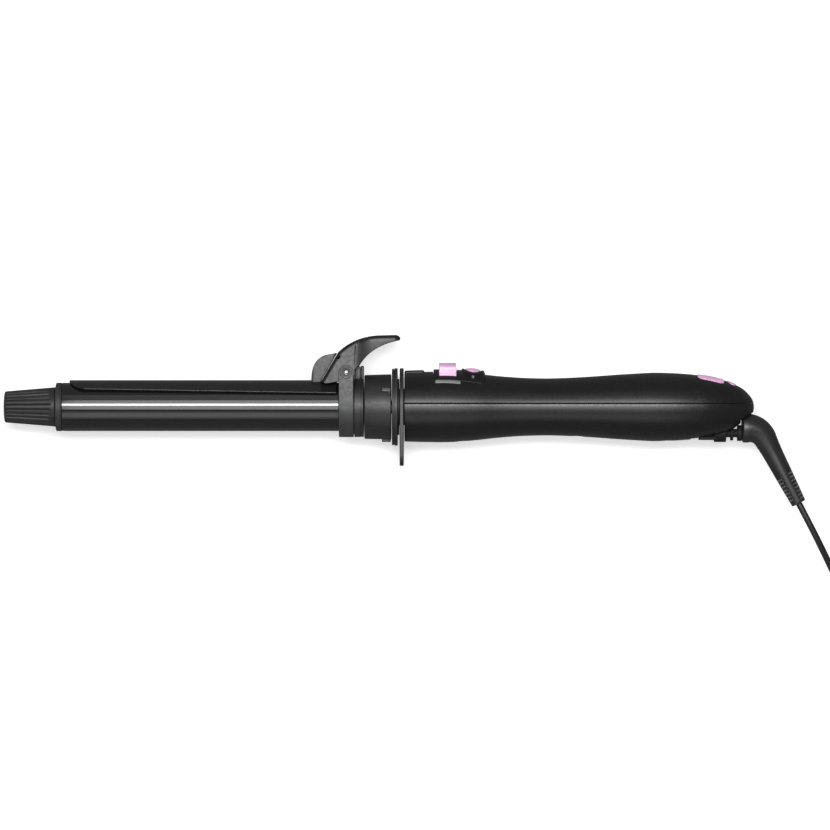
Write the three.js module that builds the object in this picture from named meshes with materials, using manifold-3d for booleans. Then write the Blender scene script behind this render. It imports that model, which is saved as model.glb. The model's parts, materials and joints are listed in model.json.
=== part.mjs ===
// Clamp curling iron, 25 mm barrel, lying on its side on a flat surface.
// Millimetres. The pieces are drawn in the iron's own frame: x runs from the front of the cool tip to
// the tail, y points to the thumb lever, z across the iron, and the barrel's centreline is the x axis.
// The exported group moves that frame so that the origin is at the bottom centre of the iron.
import * as THREE from "three";
import { mergeVertices } from "three/addons/utils/BufferGeometryUtils.js";
import Module from "manifold-3d";

const wasm = await Module();
wasm.setup();

// Driving dimensions
const GAP = 0.3; // between two pieces that rest on each other
const REST = 20; // from the barrel's centreline to the surface that the iron lies on

const TIP_LENGTH = 26.6;
const TIP_FRONT_R = 8;
const TIP_REAR_R = 10.2;

const BARREL_R = 12.5;
const BARREL_WALL = 0.9;
const BARREL_START = 30;
const BARREL_END = 185;

const CLAMP_START = 33.4;
const CLAMP_END = 171.5;
const CLAMP_R = 13.85;
const CLAMP_WALL = 1.1;
const CLAMP_LIP_Y = 7.4;

const YOKE_START = 172.6;
const YOKE_WIDTH = 7.6;
const YOKE_R = 15.6;
const YOKE_WALL = 1.3;
const PIVOT_X = YOKE_START + YOKE_WIDTH / 2;
const PIVOT_Y = 17.65;
const PIN_R = 1.5;
const RUNNING_FIT = 0.06;

const COLLAR_END = 185.4;
const REAR_COLLAR_START = 185.7;
const REAR_COLLAR_END = 199.6;
const FLANGE_START = 199.9;
const FLANGE_END = 202.9;
const NECK_END = 203.7;
const SPIGOT_R = 9.5;
const SPIGOT_END = 217;
const LUG_R = 11;
const LUG_START = 212;
const LUG_END = 215;
const TWIST = 30; // degrees from locked to released

const PLATE_START = 203.9;
const PLATE_THICKNESS = 2.1;
const FOOT_DEPTH = 30.3;

const HANDLE_START = 206.3;
const LENGTH = 386.9;
const HANDLE_WALL = 2.6;
const SEAM_Y = 1.8;

const LEVER_TOP = 37.1;
const LEVER_HALF_WIDTH = 13.9;

const SWIVEL_Y = -13.5;
const NECK_R = 2.2;
const BOOT_START = 380.7;
const BOOT_LENGTH = 51.6;
const BOOT_STRAIGHT = 3;
const BOOT_BEND_R = 10;
const BOOT_Y = -10.95;
const CORD_ANGLE = THREE.MathUtils.degToRad(62.4); // below the iron's own line, as it leaves the boot

const CORD_WIDTH = 5.4;
const CORD_THICKNESS = 3.2;
const COIL_MIDDLE_R = 29.8;
const COIL_PITCH = 3.42;
const COIL_TURNS = 9.423;
const COIL_LAYER = 5.45;
const TANGENT_AT = 68; // length of cord from the boot's end to where the coil begins
const TAIL_LENGTH = 24; // cord between the coil and the plug

const SIDES = 32;

// Solids
function solid(geometry) {
  const bare = geometry.index ? geometry.toNonIndexed() : geometry.clone();
  bare.deleteAttribute("normal");
  bare.deleteAttribute("uv");
  const merged = mergeVertices(bare, 1e-4);
  const vertProperties = merged.attributes.position.array;
  const triVerts = new Uint32Array(merged.index.array);
  return new wasm.Manifold(new wasm.Mesh({ numProp: 3, vertProperties, triVerts }));
}

function cut(body, ...tools) {
  return tools.reduce((rest, tool) => rest.subtract(tool), body);
}

function join(body, ...more) {
  return more.reduce((sum, piece) => sum.add(piece), body);
}

function geometryOf(body) {
  const made = body.getMesh();
  const geometry = new THREE.BufferGeometry();
  geometry.setAttribute("position", new THREE.BufferAttribute(made.vertProperties, 3));
  geometry.setIndex(new THREE.BufferAttribute(made.triVerts, 1));
  const faceted = geometry.toNonIndexed();
  faceted.computeVertexNormals();
  return faceted;
}

// A body of revolution about the x axis through (y, z). The profile is a list of [x, radius].
function turnedGeometry(profile, sides = SIDES, y = 0, z = 0) {
  const points = profile.map(([x, r]) => new THREE.Vector2(r, x));
  return new THREE.LatheGeometry(points, sides).rotateZ(-Math.PI / 2).translate(0, y, z);
}

function turned(profile, sides, y, z) {
  return solid(turnedGeometry(profile, sides, y, z));
}

function rod(x0, x1, r, sides = SIDES, y = 0, z = 0) {
  return turned([[x0, 0], [x0, r], [x1, r], [x1, 0]], sides, y, z);
}

function ring(x0, x1, inner, outer, sides = SIDES, y = 0, z = 0) {
  return turned([[x0, inner], [x0, outer], [x1, outer], [x1, inner], [x0, inner]], sides, y, z);
}

function outline(points) {
  return new THREE.Shape(points.map(([x, y]) => new THREE.Vector2(x, y)));
}

// A shape drawn in the x-y plane, standing across the iron from z0 to z1.
function across(shape, z0, z1, curveSegments = 4) {
  const settings = { depth: z1 - z0, bevelEnabled: false, curveSegments };
  return solid(new THREE.ExtrudeGeometry(shape, settings).translate(0, 0, z0));
}

// A shape drawn in plan, with its points as x and z, standing from y0 to y1.
function upright(shape, y0, y1, curveSegments = 4) {
  const settings = { depth: y1 - y0, bevelEnabled: false, curveSegments };
  const geometry = new THREE.ExtrudeGeometry(shape, settings).rotateX(-Math.PI / 2);
  return solid(geometry.translate(0, y0, 0));
}

// A shape drawn in the cross-section, with its points as z and y, running from x0 to x1.
function along(shape, x0, x1, curveSegments = 4) {
  const settings = { depth: x1 - x0, bevelEnabled: false, curveSegments };
  const geometry = new THREE.ExtrudeGeometry(shape, settings).rotateY(Math.PI / 2);
  return solid(geometry.translate(x0, 0, 0));
}

function box(x0, x1, y0, y1, z0, z1) {
  const geometry = new THREE.BoxGeometry(x1 - x0, y1 - y0, z1 - z0);
  return solid(geometry.translate((x0 + x1) / 2, (y0 + y1) / 2, (z0 + z1) / 2));
}

function ellipse(x, y, rx, ry) {
  return new THREE.Shape().absellipse(x, y, rx, ry, 0, 2 * Math.PI);
}

function roundedBox(x0, x1, halfWidth, r) {
  const shape = new THREE.Shape();
  shape.moveTo(x0 + r, -halfWidth);
  shape.lineTo(x1 - r, -halfWidth);
  shape.absarc(x1 - r, -halfWidth + r, r, -Math.PI / 2, 0);
  shape.absarc(x1 - r, halfWidth - r, r, 0, Math.PI / 2);
  shape.absarc(x0 + r, halfWidth - r, r, Math.PI / 2, Math.PI);
  shape.absarc(x0 + r, -halfWidth + r, r, Math.PI, 1.5 * Math.PI);
  return shape;
}

// A round bar along z.
function crossBar(x, y, r, z0, z1, sides = 20) {
  const bar = new THREE.CylinderGeometry(r, r, z1 - z0, sides).rotateX(Math.PI / 2);
  return solid(bar.translate(x, y, (z0 + z1) / 2));
}

// A round bar along y.
function post(x, z, r, y0, y1, sides = 16) {
  return solid(new THREE.CylinderGeometry(r, r, y1 - y0, sides).translate(x, (y0 + y1) / 2, z));
}

// Materials
function finish(color, roughness, metalness = 0) {
  return new THREE.MeshStandardMaterial({ color, roughness, metalness });
}

const gripPlastic = finish(0x2a2a2c, 0.35);
const shellPlastic = finish(0x1d1d1f, 0.25);
const leverPlastic = finish(0x6b6b6d, 0.6);
const barrelCoat = finish(0x1b1b1c, 0.15, 0.2);
const steel = finish(0xb9babd, 0.25, 1);
const aluminium = finish(0xa8aaae, 0.4, 1);
const ceramic = finish(0xe6e2d8, 0.7);
const brass = finish(0xc9a24b, 0.3, 1);
const nickel = finish(0xcfcfcc, 0.2, 1);
const pinkPlastic = finish(0xf0b4dc, 0.35);
const trimPlastic = finish(0x9aa09c, 0.5);
const boardGreen = finish(0x1f6a3a, 0.6);
const cordRubber = finish(0x1a1a1a, 0.5);

const iron = new THREE.Group();
iron.position.set(-LENGTH / 2, (FOOT_DEPTH - LEVER_TOP) / 2, REST);

function piece(name, body, material) {
  const mesh = new THREE.Mesh(geometryOf(body), material);
  mesh.name = name;
  iron.add(mesh);
}

// Tip and barrel
function coolTip() {
  const end = TIP_LENGTH - GAP;
  return turned([[0, 0], [0, TIP_FRONT_R - 0.5], [0.5, TIP_FRONT_R], [end, TIP_REAR_R], [end, 0]]);
}

function tipCollar() {
  const start = TIP_LENGTH;
  const end = BARREL_START;
  return turned([[start, 0], [start, 12], [start + 0.5, BARREL_R], [end - GAP, BARREL_R],
    [end - GAP, INSIDE_R], [end + 5, INSIDE_R], [end + 5, 0]]);
}

function barrelTube() {
  return ring(BARREL_START, BARREL_END, BARREL_R - BARREL_WALL, BARREL_R);
}

// The heater fills the middle of the barrel: two bored half-round blocks with a flat element between.
const INSIDE_R = BARREL_R - BARREL_WALL - GAP;
const HEATER_START = 58;
const HEATER_END = 136;
const HEATER_BORE_R = 3.4;
const ELEMENT_HALF = 1.6;
const ELEMENT_HALF_WIDTH = 6;

function heaterBlock(side) {
  const near = side * (ELEMENT_HALF + GAP);
  const far = side * INSIDE_R;
  const half = box(HEATER_START, HEATER_END, Math.min(near, far), Math.max(near, far),
    -INSIDE_R, INSIDE_R);
  const bore = rod(HEATER_START - 1, HEATER_END + 1, HEATER_BORE_R, 12, side * 6.4);
  return cut(rod(HEATER_START, HEATER_END, INSIDE_R).intersect(half), bore);
}

function heaterElement() {
  return box(HEATER_START + 2, HEATER_END - 2, -ELEMENT_HALF, ELEMENT_HALF,
    -ELEMENT_HALF_WIDTH, ELEMENT_HALF_WIDTH);
}

const END_PLUG_START = 156;
const END_PLUG_END = 168;

function endPlug() {
  return ring(END_PLUG_START, END_PLUG_END, 2, INSIDE_R);
}

// A bead that reads the barrel's temperature, behind the heater.
function thermistor() {
  const start = HEATER_END + 2;
  return turned([[start, 0], [start, 1.1], [start + 3.5, 1.1], [start + 4.5, 0.5], [start + 4.5, 0]],
    12, 3);
}

// Clamp: a thin curved spoon that hugs the barrel, with a rounded front.
function clampSpoon() {
  const tube = ring(CLAMP_START, CLAMP_END, CLAMP_R - CLAMP_WALL, CLAMP_R, 48);
  const halfWidth = Math.sqrt(CLAMP_R ** 2 - CLAMP_LIP_Y ** 2);
  const plan = new THREE.Shape();
  plan.moveTo(CLAMP_END + 1, -halfWidth);
  plan.lineTo(CLAMP_END + 1, halfWidth);
  plan.lineTo(CLAMP_START + 9, halfWidth);
  plan.bezierCurveTo(CLAMP_START + 3, halfWidth, CLAMP_START, 6, CLAMP_START, 0);
  plan.bezierCurveTo(CLAMP_START, -6, CLAMP_START + 3, -halfWidth, CLAMP_START + 9, -halfWidth);
  return tube.intersect(upright(plan, CLAMP_LIP_Y, CLAMP_R + 1));
}

// The rounded hump on the clamp, in front of the lever.
const BOSS_START = 158.4;
const BOSS_HALF_WIDTH = 5;

function clampBoss() {
  const side = new THREE.Shape();
  side.moveTo(BOSS_START, CLAMP_R - 4);
  side.lineTo(BOSS_START, 14.2);
  side.bezierCurveTo(BOSS_START + 0.1, 20.5, BOSS_START + 1.8, 25.3, 166, 26.9);
  side.lineTo(171.6, 27.9);
  side.lineTo(163, 13.1);
  side.lineTo(163, CLAMP_R - 4);
  const plan = roundedBox(BOSS_START - 1, 172, BOSS_HALF_WIDTH, 2.5);
  const body = across(side, -BOSS_HALF_WIDTH, BOSS_HALF_WIDTH).intersect(upright(plan, 0, 40));
  return cut(body, rod(CLAMP_START - 5, CLAMP_END + 5, CLAMP_R + GAP, 48));
}

// Thumb lever: a channel with its web on top and two side plates that carry the pivot.
function leverTop(shape, inset) {
  shape.moveTo(163.4 + inset, 12.9);
  shape.lineTo(172.4 + inset * 0.9, 28.2 - inset * 0.5);
  shape.bezierCurveTo(177.6, 33.2 - inset, 184.6, 36.4 - inset, 193, LEVER_TOP - 0.25 - inset);
  shape.lineTo(204.3, LEVER_TOP - inset);
}

function leverSide() {
  const shape = new THREE.Shape();
  leverTop(shape, 0);
  shape.lineTo(203.9, 34.5);
  shape.bezierCurveTo(196, 33.2, 187.5, 29.4, PIVOT_X + 6.6, 21.4);
  shape.absarc(PIVOT_X, PIVOT_Y, 4.4, 0.35, -Math.PI * 0.62, true);
  shape.lineTo(166.2, 12.1);
  return shape;
}

function leverPlan() {
  const w = LEVER_HALF_WIDTH;
  const tip = 10.2;
  const shape = new THREE.Shape();
  shape.moveTo(160, -w);
  shape.lineTo(181, -w);
  shape.bezierCurveTo(185, -w, 186, -tip, 191, -tip);
  shape.lineTo(200.8, -tip);
  shape.absarc(200.8, -tip + 3.5, 3.5, -Math.PI / 2, 0);
  shape.absarc(200.8, tip - 3.5, 3.5, 0, Math.PI / 2);
  shape.lineTo(191, tip);
  shape.bezierCurveTo(186, tip, 185, w, 181, w);
  shape.lineTo(160, w);
  return shape;
}

// Half the width of the hollow's rear end, which passes over the spring seat
const LEVER_HOLLOW_TAIL = 8.6;

function leverHollow() {
  const wall = 1.5;
  const shape = new THREE.Shape();
  leverTop(shape, 1.7);
  shape.lineTo(204.3, 10);
  shape.lineTo(163.4, 10);
  const wide = upright(roundedBox(150, 183.5, LEVER_HALF_WIDTH - wall, 4), 0, 60);
  const narrow = upright(roundedBox(150, 189, LEVER_HOLLOW_TAIL, 4), 0, 60);
  return across(shape, -20, 20).intersect(wide.add(narrow));
}

function thumbLever() {
  const w = LEVER_HALF_WIDTH;
  const whole = across(leverSide(), -w, w).intersect(upright(leverPlan(), 0, 60));
  const hole = crossBar(PIVOT_X, PIVOT_Y, PIN_R + RUNNING_FIT, -20, 20);
  return cut(whole, leverHollow(), hole, rod(150, CLAMP_END + 0.5, CLAMP_R + GAP, 48));
}

// Hinge
function hingeYoke() {
  const r = YOKE_R;
  const section = new THREE.Shape();
  section.moveTo(-r, 26);
  section.lineTo(-r, 0);
  section.absarc(0, 0, r, Math.PI, 2 * Math.PI);
  section.lineTo(r, 26);
  section.lineTo(r - YOKE_WALL, 26);
  section.lineTo(r - YOKE_WALL, 0);
  section.absarc(0, 0, r - YOKE_WALL, 2 * Math.PI, Math.PI, true);
  section.lineTo(-r + YOKE_WALL, 26);
  const side = new THREE.Shape();
  const half = YOKE_WIDTH / 2;
  side.moveTo(PIVOT_X - half, -20);
  side.lineTo(PIVOT_X + half, -20);
  side.absarc(PIVOT_X, PIVOT_Y, half, 0, Math.PI);
  const strap = along(section, YOKE_START - 1, YOKE_START + YOKE_WIDTH + 1, 10);
  const hole = crossBar(PIVOT_X, PIVOT_Y, PIN_R + RUNNING_FIT, -20, 20);
  return cut(strap.intersect(across(side, -20, 20)), hole);
}

function hingePin() {
  const headR = 2.05;
  const ends = [-1, 1].map((side) => {
    const face = side * (YOKE_R + 0.05);
    return crossBar(PIVOT_X, PIVOT_Y, headR, Math.min(face, face + side * 0.55),
      Math.max(face, face + side * 0.55));
  });
  return join(crossBar(PIVOT_X, PIVOT_Y, PIN_R, -YOKE_R - 0.3, YOKE_R + 0.3), ...ends);
}

function hingeCollar() {
  const bore = BARREL_R + GAP;
  const front = YOKE_R - YOKE_WALL - GAP;
  const body = turned([[YOKE_START, bore], [YOKE_START, front],
    [YOKE_START + YOKE_WIDTH + GAP, front], [YOKE_START + YOKE_WIDTH + GAP, YOKE_R],
    [COLLAR_END - 0.3, YOKE_R], [COLLAR_END, YOKE_R - 0.3], [COLLAR_END, bore], [YOKE_START, bore]]);
  const seat = box(YOKE_START + YOKE_WIDTH + 0.4, COLLAR_END, 13, 21.2, -5.5, 5.5);
  const legGroove = box(178, 190, 19.5, 22, -4.2, -2);
  return join(body, cut(seat, rod(170, 190, BARREL_R + 0.8), legGroove));
}

// Closing spring: a coil round the pin, with one leg back on the collar's seat and one up under the
// lever's web, behind the pin, so that it lifts the lever and closes the clamp.
const SPRING = { turns: 4 + 260 / 360, coilR: 2.7, pitch: 1.25, wireR: 0.45, seatLeg: 6.8, leverLeg: 14.6 };

class SpringWire extends THREE.Curve {
  getPoint(t, target = new THREE.Vector3()) {
    const legShare = 0.08;
    const inCoil = THREE.MathUtils.clamp((t - legShare) / (1 - 2 * legShare), 0, 1);
    const angle = Math.PI / 2 + inCoil * SPRING.turns * 2 * Math.PI;
    const seatLeg = (Math.max(legShare - t, 0) / legShare) * SPRING.seatLeg;
    const leverLeg = (Math.max(t - 1 + legShare, 0) / legShare) * SPRING.leverLeg;
    const along = leverLeg - seatLeg;
    target.x = PIVOT_X + SPRING.coilR * Math.cos(angle) - along * Math.sin(angle);
    target.y = PIVOT_Y + SPRING.coilR * Math.sin(angle) + along * Math.cos(angle);
    target.z = (inCoil - 0.5) * SPRING.turns * SPRING.pitch;
    return target;
  }
}

function torsionSpring() {
  const wire = new THREE.Shape().absarc(0, 0, SPRING.wireR, 0, 2 * Math.PI);
  const settings = { steps: 54, curveSegments: 2, extrudePath: new SpringWire() };
  return solid(new THREE.ExtrudeGeometry(wire, settings));
}

// Collars, flange and bayonet
function rearCollar() {
  const bore = BARREL_R + GAP;
  const start = REAR_COLLAR_START;
  const end = REAR_COLLAR_END;
  let body = turned([[start, bore], [start, 16.3], [start + 0.4, 16.6], [end - 0.4, 16.9],
    [end, 16.6], [end, bore], [start, bore]]);
  for (const angle of [30, 150, 270]) {
    const bar = new THREE.BoxGeometry(4.6, 2.2, 1.9).translate(end - 2.6, 16.8, 0);
    const toe = new THREE.BoxGeometry(1.5, 2, 3.6).translate(end - 1.1, 16.7, 1.2);
    for (const nub of [bar, toe]) {
      body = body.add(solid(nub.rotateX(THREE.MathUtils.degToRad(90 - angle))));
    }
  }
  return body;
}

function headFlange() {
  const inner = SPIGOT_R - 2;
  const body = turned([[FLANGE_START, inner], [FLANGE_START, REST - 0.3],
    [FLANGE_START + 0.3, REST], [FLANGE_END - 0.3, REST], [FLANGE_END, REST - 0.3],
    [FLANGE_END, 14.5], [NECK_END, 14.5], [NECK_END, SPIGOT_R], [SPIGOT_END, SPIGOT_R],
    [SPIGOT_END, inner], [FLANGE_START, inner]]);
  const lugs = [0, 180].map((angle) => lugSector(angle, 18, LUG_R, LUG_START, LUG_END));
  return join(body, ...lugs);
}

// A block between two radii, centred on an angle about the x axis.
function lugSector(angle, width, r, x0, x1) {
  const band = ring(x0, x1, SPIGOT_R - 0.6, r);
  const reach = 2 * r;
  const half = THREE.MathUtils.degToRad(width / 2);
  const middle = THREE.MathUtils.degToRad(angle);
  const at = (turn) => [reach * Math.cos(middle + turn), reach * Math.sin(middle + turn)];
  return band.intersect(along(outline([[0, 0], at(-half), at(half)]), x0 - 1, x1 + 1));
}

function bayonetSocket() {
  const bore = SPIGOT_R + RUNNING_FIT + 0.02;
  const outer = 12.2;
  const race = LUG_R + 0.3;
  const start = HANDLE_START;
  const body = turned([[start, bore], [start, outer], [LUG_END + 3, outer], [LUG_END + 3, bore],
    [LUG_END + 0.4, bore], [LUG_END + 0.4, race], [LUG_START - 0.4, race], [LUG_START - 0.4, bore],
    [start, bore]]);
  const slots = [0, 180].map((angle) => lugSector(angle + TWIST, 22, race, start - 1, LUG_START));
  return cut(body, ...slots);
}

function contactPin() {
  return turned([[197, 0], [197, 3.5], [200.2, 3.5], [200.2, 1.5], [222, 1.5], [223.5, 0.8],
    [223.5, 0]], 24);
}

function contactSocket() {
  const bore = 1.5 + RUNNING_FIT;
  return turned([[218.6, bore], [218.6, 5.2], [228, 5.2], [228, bore], [218.6, bore]], 24);
}

function standPlate() {
  const r = REST;
  const corner = 5;
  const shape = new THREE.Shape();
  shape.moveTo(r, 0);
  shape.absarc(0, 0, r, 0, Math.PI);
  shape.lineTo(-r, -FOOT_DEPTH + corner);
  shape.absarc(-r + corner, -FOOT_DEPTH + corner, corner, Math.PI, 1.5 * Math.PI);
  shape.lineTo(r - corner, -FOOT_DEPTH);
  shape.absarc(r - corner, -FOOT_DEPTH + corner, corner, -Math.PI / 2, 0);
  const plate = along(shape, PLATE_START, PLATE_START + PLATE_THICKNESS, 10);
  return cut(plate, rod(200, 210, SPIGOT_R + RUNNING_FIT + 0.02));
}

// Handle shells. The profile is a list of [distance from the handle's front, radius in side view].
const HANDLE_PROFILE = [[0, 17.5], [1, 17.9], [12, 18.2], [24, 18.2], [36, 17.3], [49, 15.9],
  [62, 15], [74, 14.75], [86, 15.1], [98, 15.8], [112, 16.8], [124, 17.5], [130, 17.7],
  [140, 17.4], [149, 16.7], [157, 15.7], [165, 13.8], [171.5, 11.2], [175.6, 8.7], [178.9, 5.2],
  [180.2, 2.6], [LENGTH - HANDLE_START, 0]];
const FRONT_WIDENING = 1.09;
const BULGE_WIDENING = REST / 17.7;
const BULGE_AT = HANDLE_START + 130;

function widening(x) {
  const share = THREE.MathUtils.clamp((x - HANDLE_START) / (BULGE_AT - HANDLE_START), 0, 1);
  return THREE.MathUtils.lerp(FRONT_WIDENING, BULGE_WIDENING, share);
}

// The handle's outer form, with its radius made larger by offset. It is wider than it is tall.
function handleForm(offset, steps = 22, sides = 28) {
  const curve = new THREE.SplineCurve(HANDLE_PROFILE.map(([x, r]) => new THREE.Vector2(x, r)));
  const rim = curve.getPoints(steps).filter((p) => p.y + offset > 0.3);
  const last = rim[rim.length - 1];
  const end = offset === 0 ? LENGTH : HANDLE_START + last.x;
  const profile = [[HANDLE_START, 0]];
  rim.forEach((p) => profile.push([HANDLE_START + p.x, p.y + offset]));
  profile.push([end, 0]);
  const geometry = turnedGeometry(profile, sides);
  const position = geometry.attributes.position;
  for (let i = 0; i < position.count; i++) {
    position.setZ(i, position.getZ(i) * widening(position.getX(i)));
  }
  return solid(geometry);
}

const handleOuter = handleForm(0);
const handleInner = handleForm(-HANDLE_WALL, 10, 16).intersect(
  box(HANDLE_START + HANDLE_WALL, LENGTH - 5, -30, 30, -30, 30));
const SOCKET_HOLE_R = 12.5;

// The space under the tail that the swivelling boot turns in.
function swivelSpace() {
  const notch = outline([[366.8, -16.6], [375.1, -12], [378.3, -9.4], [379.6, -8.4], [379.6, -22],
    [366.8, -22]]);
  return join(across(notch, -25, 25), rod(379.5, 400, 10.9, 28, SWIVEL_Y));
}

// Plan outlines of what sits in the top of the handle
const PANEL = { start: 221.4, end: 247.9, halfWidth: 13, corner: 2.5 };
const PAD_RISE = 1.2; // the panel's top above the handle's own form
const SLIDER = { start: 224.2, end: 233.1, halfWidth: 11, corner: 1.2 };
const SLIDER_TRAVEL = 2;
const STEM = { start: 225.8, end: 231.2, halfWidth: 4, corner: 1 };
const TRIM = { start: 222.2, end: 235.2 };
const POWER_X = 241.75;
const BEZEL_HALF_LENGTH = 5.9;
const TEMPERATURE = { start: 357.5, end: 371.2, halfWidth: 8.6, corner: 3 };
const MODE_X = 375.3;
const MODE_HALF_LENGTH = 2.4;
const MODE_HALF_WIDTH = 5;
const BUTTON_GAP = 0.25;
const ABOVE_ALL = 40; // higher than anything on the handle

function plate(plan, grow, travel = 0) {
  const { start, end, halfWidth, corner } = plan;
  return upright(roundedBox(start - grow, end + travel + grow, halfWidth + grow, corner),
    0, ABOVE_ALL);
}

function oval(x, halfLength, halfWidth, grow) {
  return upright(ellipse(x, 0, halfLength + grow, halfWidth + grow), 0, ABOVE_ALL);
}

function trimPlan(side, grow) {
  const near = side * (PANEL.halfWidth + 0.55 - grow);
  const far = side * (PANEL.halfWidth + 1.7 + grow);
  return box(TRIM.start - grow, TRIM.end + grow, 0, ABOVE_ALL, Math.min(near, far),
    Math.max(near, far));
}

const panelPocketFloor = handleForm(-0.8);
const panelUnderside = handleForm(-0.5);
const panelTop = handleForm(PAD_RISE);

function upperShell() {
  const seam = box(200, 400, SEAM_Y + GAP / 2, 40, -30, 30);
  const mark = box(HANDLE_START, HANDLE_START + 10.3, 15, 19.1, -3, 3);
  const skin = cut(join(handleOuter, mark), handleInner, rod(200, 215, SOCKET_HOLE_R), swivelSpace());
  const pocket = cut(plate(PANEL, 0.15), panelPocketFloor);
  const trims = [-1, 1].map((side) => cut(trimPlan(side, 0.15), handleForm(-1.3)));
  const modeHole = oval(MODE_X, MODE_HALF_LENGTH, MODE_HALF_WIDTH, BUTTON_GAP);
  return cut(skin.intersect(seam), pocket, ...trims, plate(STEM, 0.5, SLIDER_TRAVEL),
    oval(POWER_X, 4.2, 7.1, 0.2), plate(TEMPERATURE, BUTTON_GAP), modeHole);
}

// Where each screw is, and how deep its head sits. The handle is slimmer at the middle one.
const SCREWS = [{ x: 236, floor: -11.5 }, { x: 296, floor: -9.5 }, { x: 342, floor: -11.5 }];
const SCREW_HEAD_R = 2.6;
const SCREW_R = 1.25;

function lowerShell() {
  const seam = box(200, 400, -40, SEAM_Y - GAP / 2, -30, 30);
  let body = cut(handleOuter, handleInner, rod(200, 215, SOCKET_HOLE_R), swivelSpace(),
    retainerSpace()).intersect(seam);
  for (const { x, floor } of SCREWS) {
    const boss = post(x, 0, 4, -20, -3, 16).intersect(handleOuter);
    const tools = [post(x, 0, SCREW_HEAD_R + GAP, -30, floor, 20), post(x, 0, SCREW_R + GAP, -30, 10)];
    body = cut(join(body, boss), ...tools);
  }
  return body;
}

function shellScrew({ x, floor }) {
  const head = post(x, 0, SCREW_HEAD_R, floor - 2.1, floor - 0.1, 20);
  const slot = box(x - 1.8, x + 1.8, floor - 3, floor - 1.4, -0.35, 0.35);
  const crossSlot = box(x - 0.35, x + 0.35, floor - 3, floor - 1.4, -1.8, 1.8);
  return join(cut(head, slot, crossSlot), post(x, 0, SCREW_R, floor - 0.2, -1.5));
}

// Controls
function controlPanel() {
  const pad = cut(panelTop.intersect(plate(PANEL, 0)), panelUnderside);
  return cut(pad, plate(STEM, 0.4, SLIDER_TRAVEL), oval(POWER_X, BEZEL_HALF_LENGTH, 11, 0.15));
}

function trimBar(side) {
  return cut(handleForm(0.35).intersect(trimPlan(side, 0)), handleForm(-1));
}

// A cap with sloping shoulders and a grooved thumb rest. It rides over the panel on a stem.
function lockSlider() {
  const w = SLIDER.halfWidth;
  const section = new THREE.Shape();
  section.moveTo(-w, 12);
  section.lineTo(-w, 20.5);
  section.quadraticCurveTo(-w + 0.4, 21.2, -w + 3, 21.7);
  section.quadraticCurveTo(0, 23.6, w - 3, 21.7);
  section.quadraticCurveTo(w - 0.4, 21.2, w, 20.5);
  section.lineTo(w, 12);
  const block = along(section, SLIDER.start, SLIDER.end).intersect(plate(SLIDER, 0));
  const grips = [0, 1, 2].map((i) => {
    const x = SLIDER.start + 2.6 + i * 1.9;
    return cut(box(x - 0.35, x + 0.35, 12, 40, -8, 8), box(x - 1, x + 1, 12, 22.3, -8, 8));
  });
  const cap = cut(block, handleForm(PAD_RISE + 0.15), ...grips);
  const stem = cut(plate(STEM, 0).intersect(handleForm(PAD_RISE + 0.6)), handleForm(-0.2));
  return join(cap, stem);
}

// The hook under the slider that reaches down to the bayonet.
function releaseLatch() {
  const stem = box(226, 231, 14.2, 17.3, -3, 3);
  const arm = box(219, 231, 12.9, 14.4, -3, 3);
  return join(stem, arm);
}

function powerBezel() {
  const band = cut(handleForm(2.1).intersect(oval(POWER_X, BEZEL_HALF_LENGTH, 11, 0)), panelUnderside);
  return cut(band, oval(POWER_X, 4.2, 7.1, 0));
}

function powerButton() {
  const body = oval(POWER_X, 3.95, 6.85, 0).intersect(handleForm(2.75));
  return cut(body, handleForm(-1.6));
}

function temperatureRocker() {
  return cut(handleForm(0.45).intersect(plate(TEMPERATURE, 0)), handleForm(-1.6));
}

function modeButton() {
  const plan = oval(MODE_X, MODE_HALF_LENGTH, MODE_HALF_WIDTH, 0);
  return cut(handleForm(0.5).intersect(plan), handleForm(-1.6));
}

const BOARD_TOP = 4.8;
const BUTTON_TRAVEL = 0.8;

function mainBoard() {
  return box(234, 376.5, BOARD_TOP - 1.6, BOARD_TOP, -7.5, 7.5);
}

// A small switch on the board. Its plunger stops a button's travel short of the button's underside.
function tactSwitch(x, underside) {
  const foot = BOARD_TOP + GAP;
  const body = box(x - 2, x + 2, foot, foot + 2.2, -2, 2);
  return join(body, post(x, 0, 1, foot + 2, underside - BUTTON_TRAVEL - GAP, 8));
}

// Swivel and strain relief
const RETAINER = { start: 358.5, barrel: 366.9, end: 372.4 };

function retainerSpace() {
  return join(box(RETAINER.start - GAP, RETAINER.barrel + GAP, -30, -15.2, -5.5, 5.5),
    rod(354, 400, 5, 20, SWIVEL_Y));
}

function swivelRetainer() {
  const bore = NECK_R + RUNNING_FIT;
  const strip = box(RETAINER.start, RETAINER.barrel + 0.5, -17.1, -15.5, -5.2, 5.2);
  const barrel = rod(366.2, RETAINER.end, 4.65, 20, SWIVEL_Y);
  const stop = rod(355, 366.2, 4.4, 20, SWIVEL_Y);
  return cut(join(cut(strip, stop), barrel), rod(350, 380, bore, 20, SWIVEL_Y));
}

function swivelNeck() {
  const end = BOOT_START - GAP;
  return turned([[358.5, 0], [358.5, 3.6], [360, 3.6], [360, NECK_R], [374.6, NECK_R],
    [374.6, 3.85], [376.1, 3.85], [376.1, NECK_R], [378.2, NECK_R], [378.2, 4.1], [end, 4.1],
    [end, 0]], 20, SWIVEL_Y);
}

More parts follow.
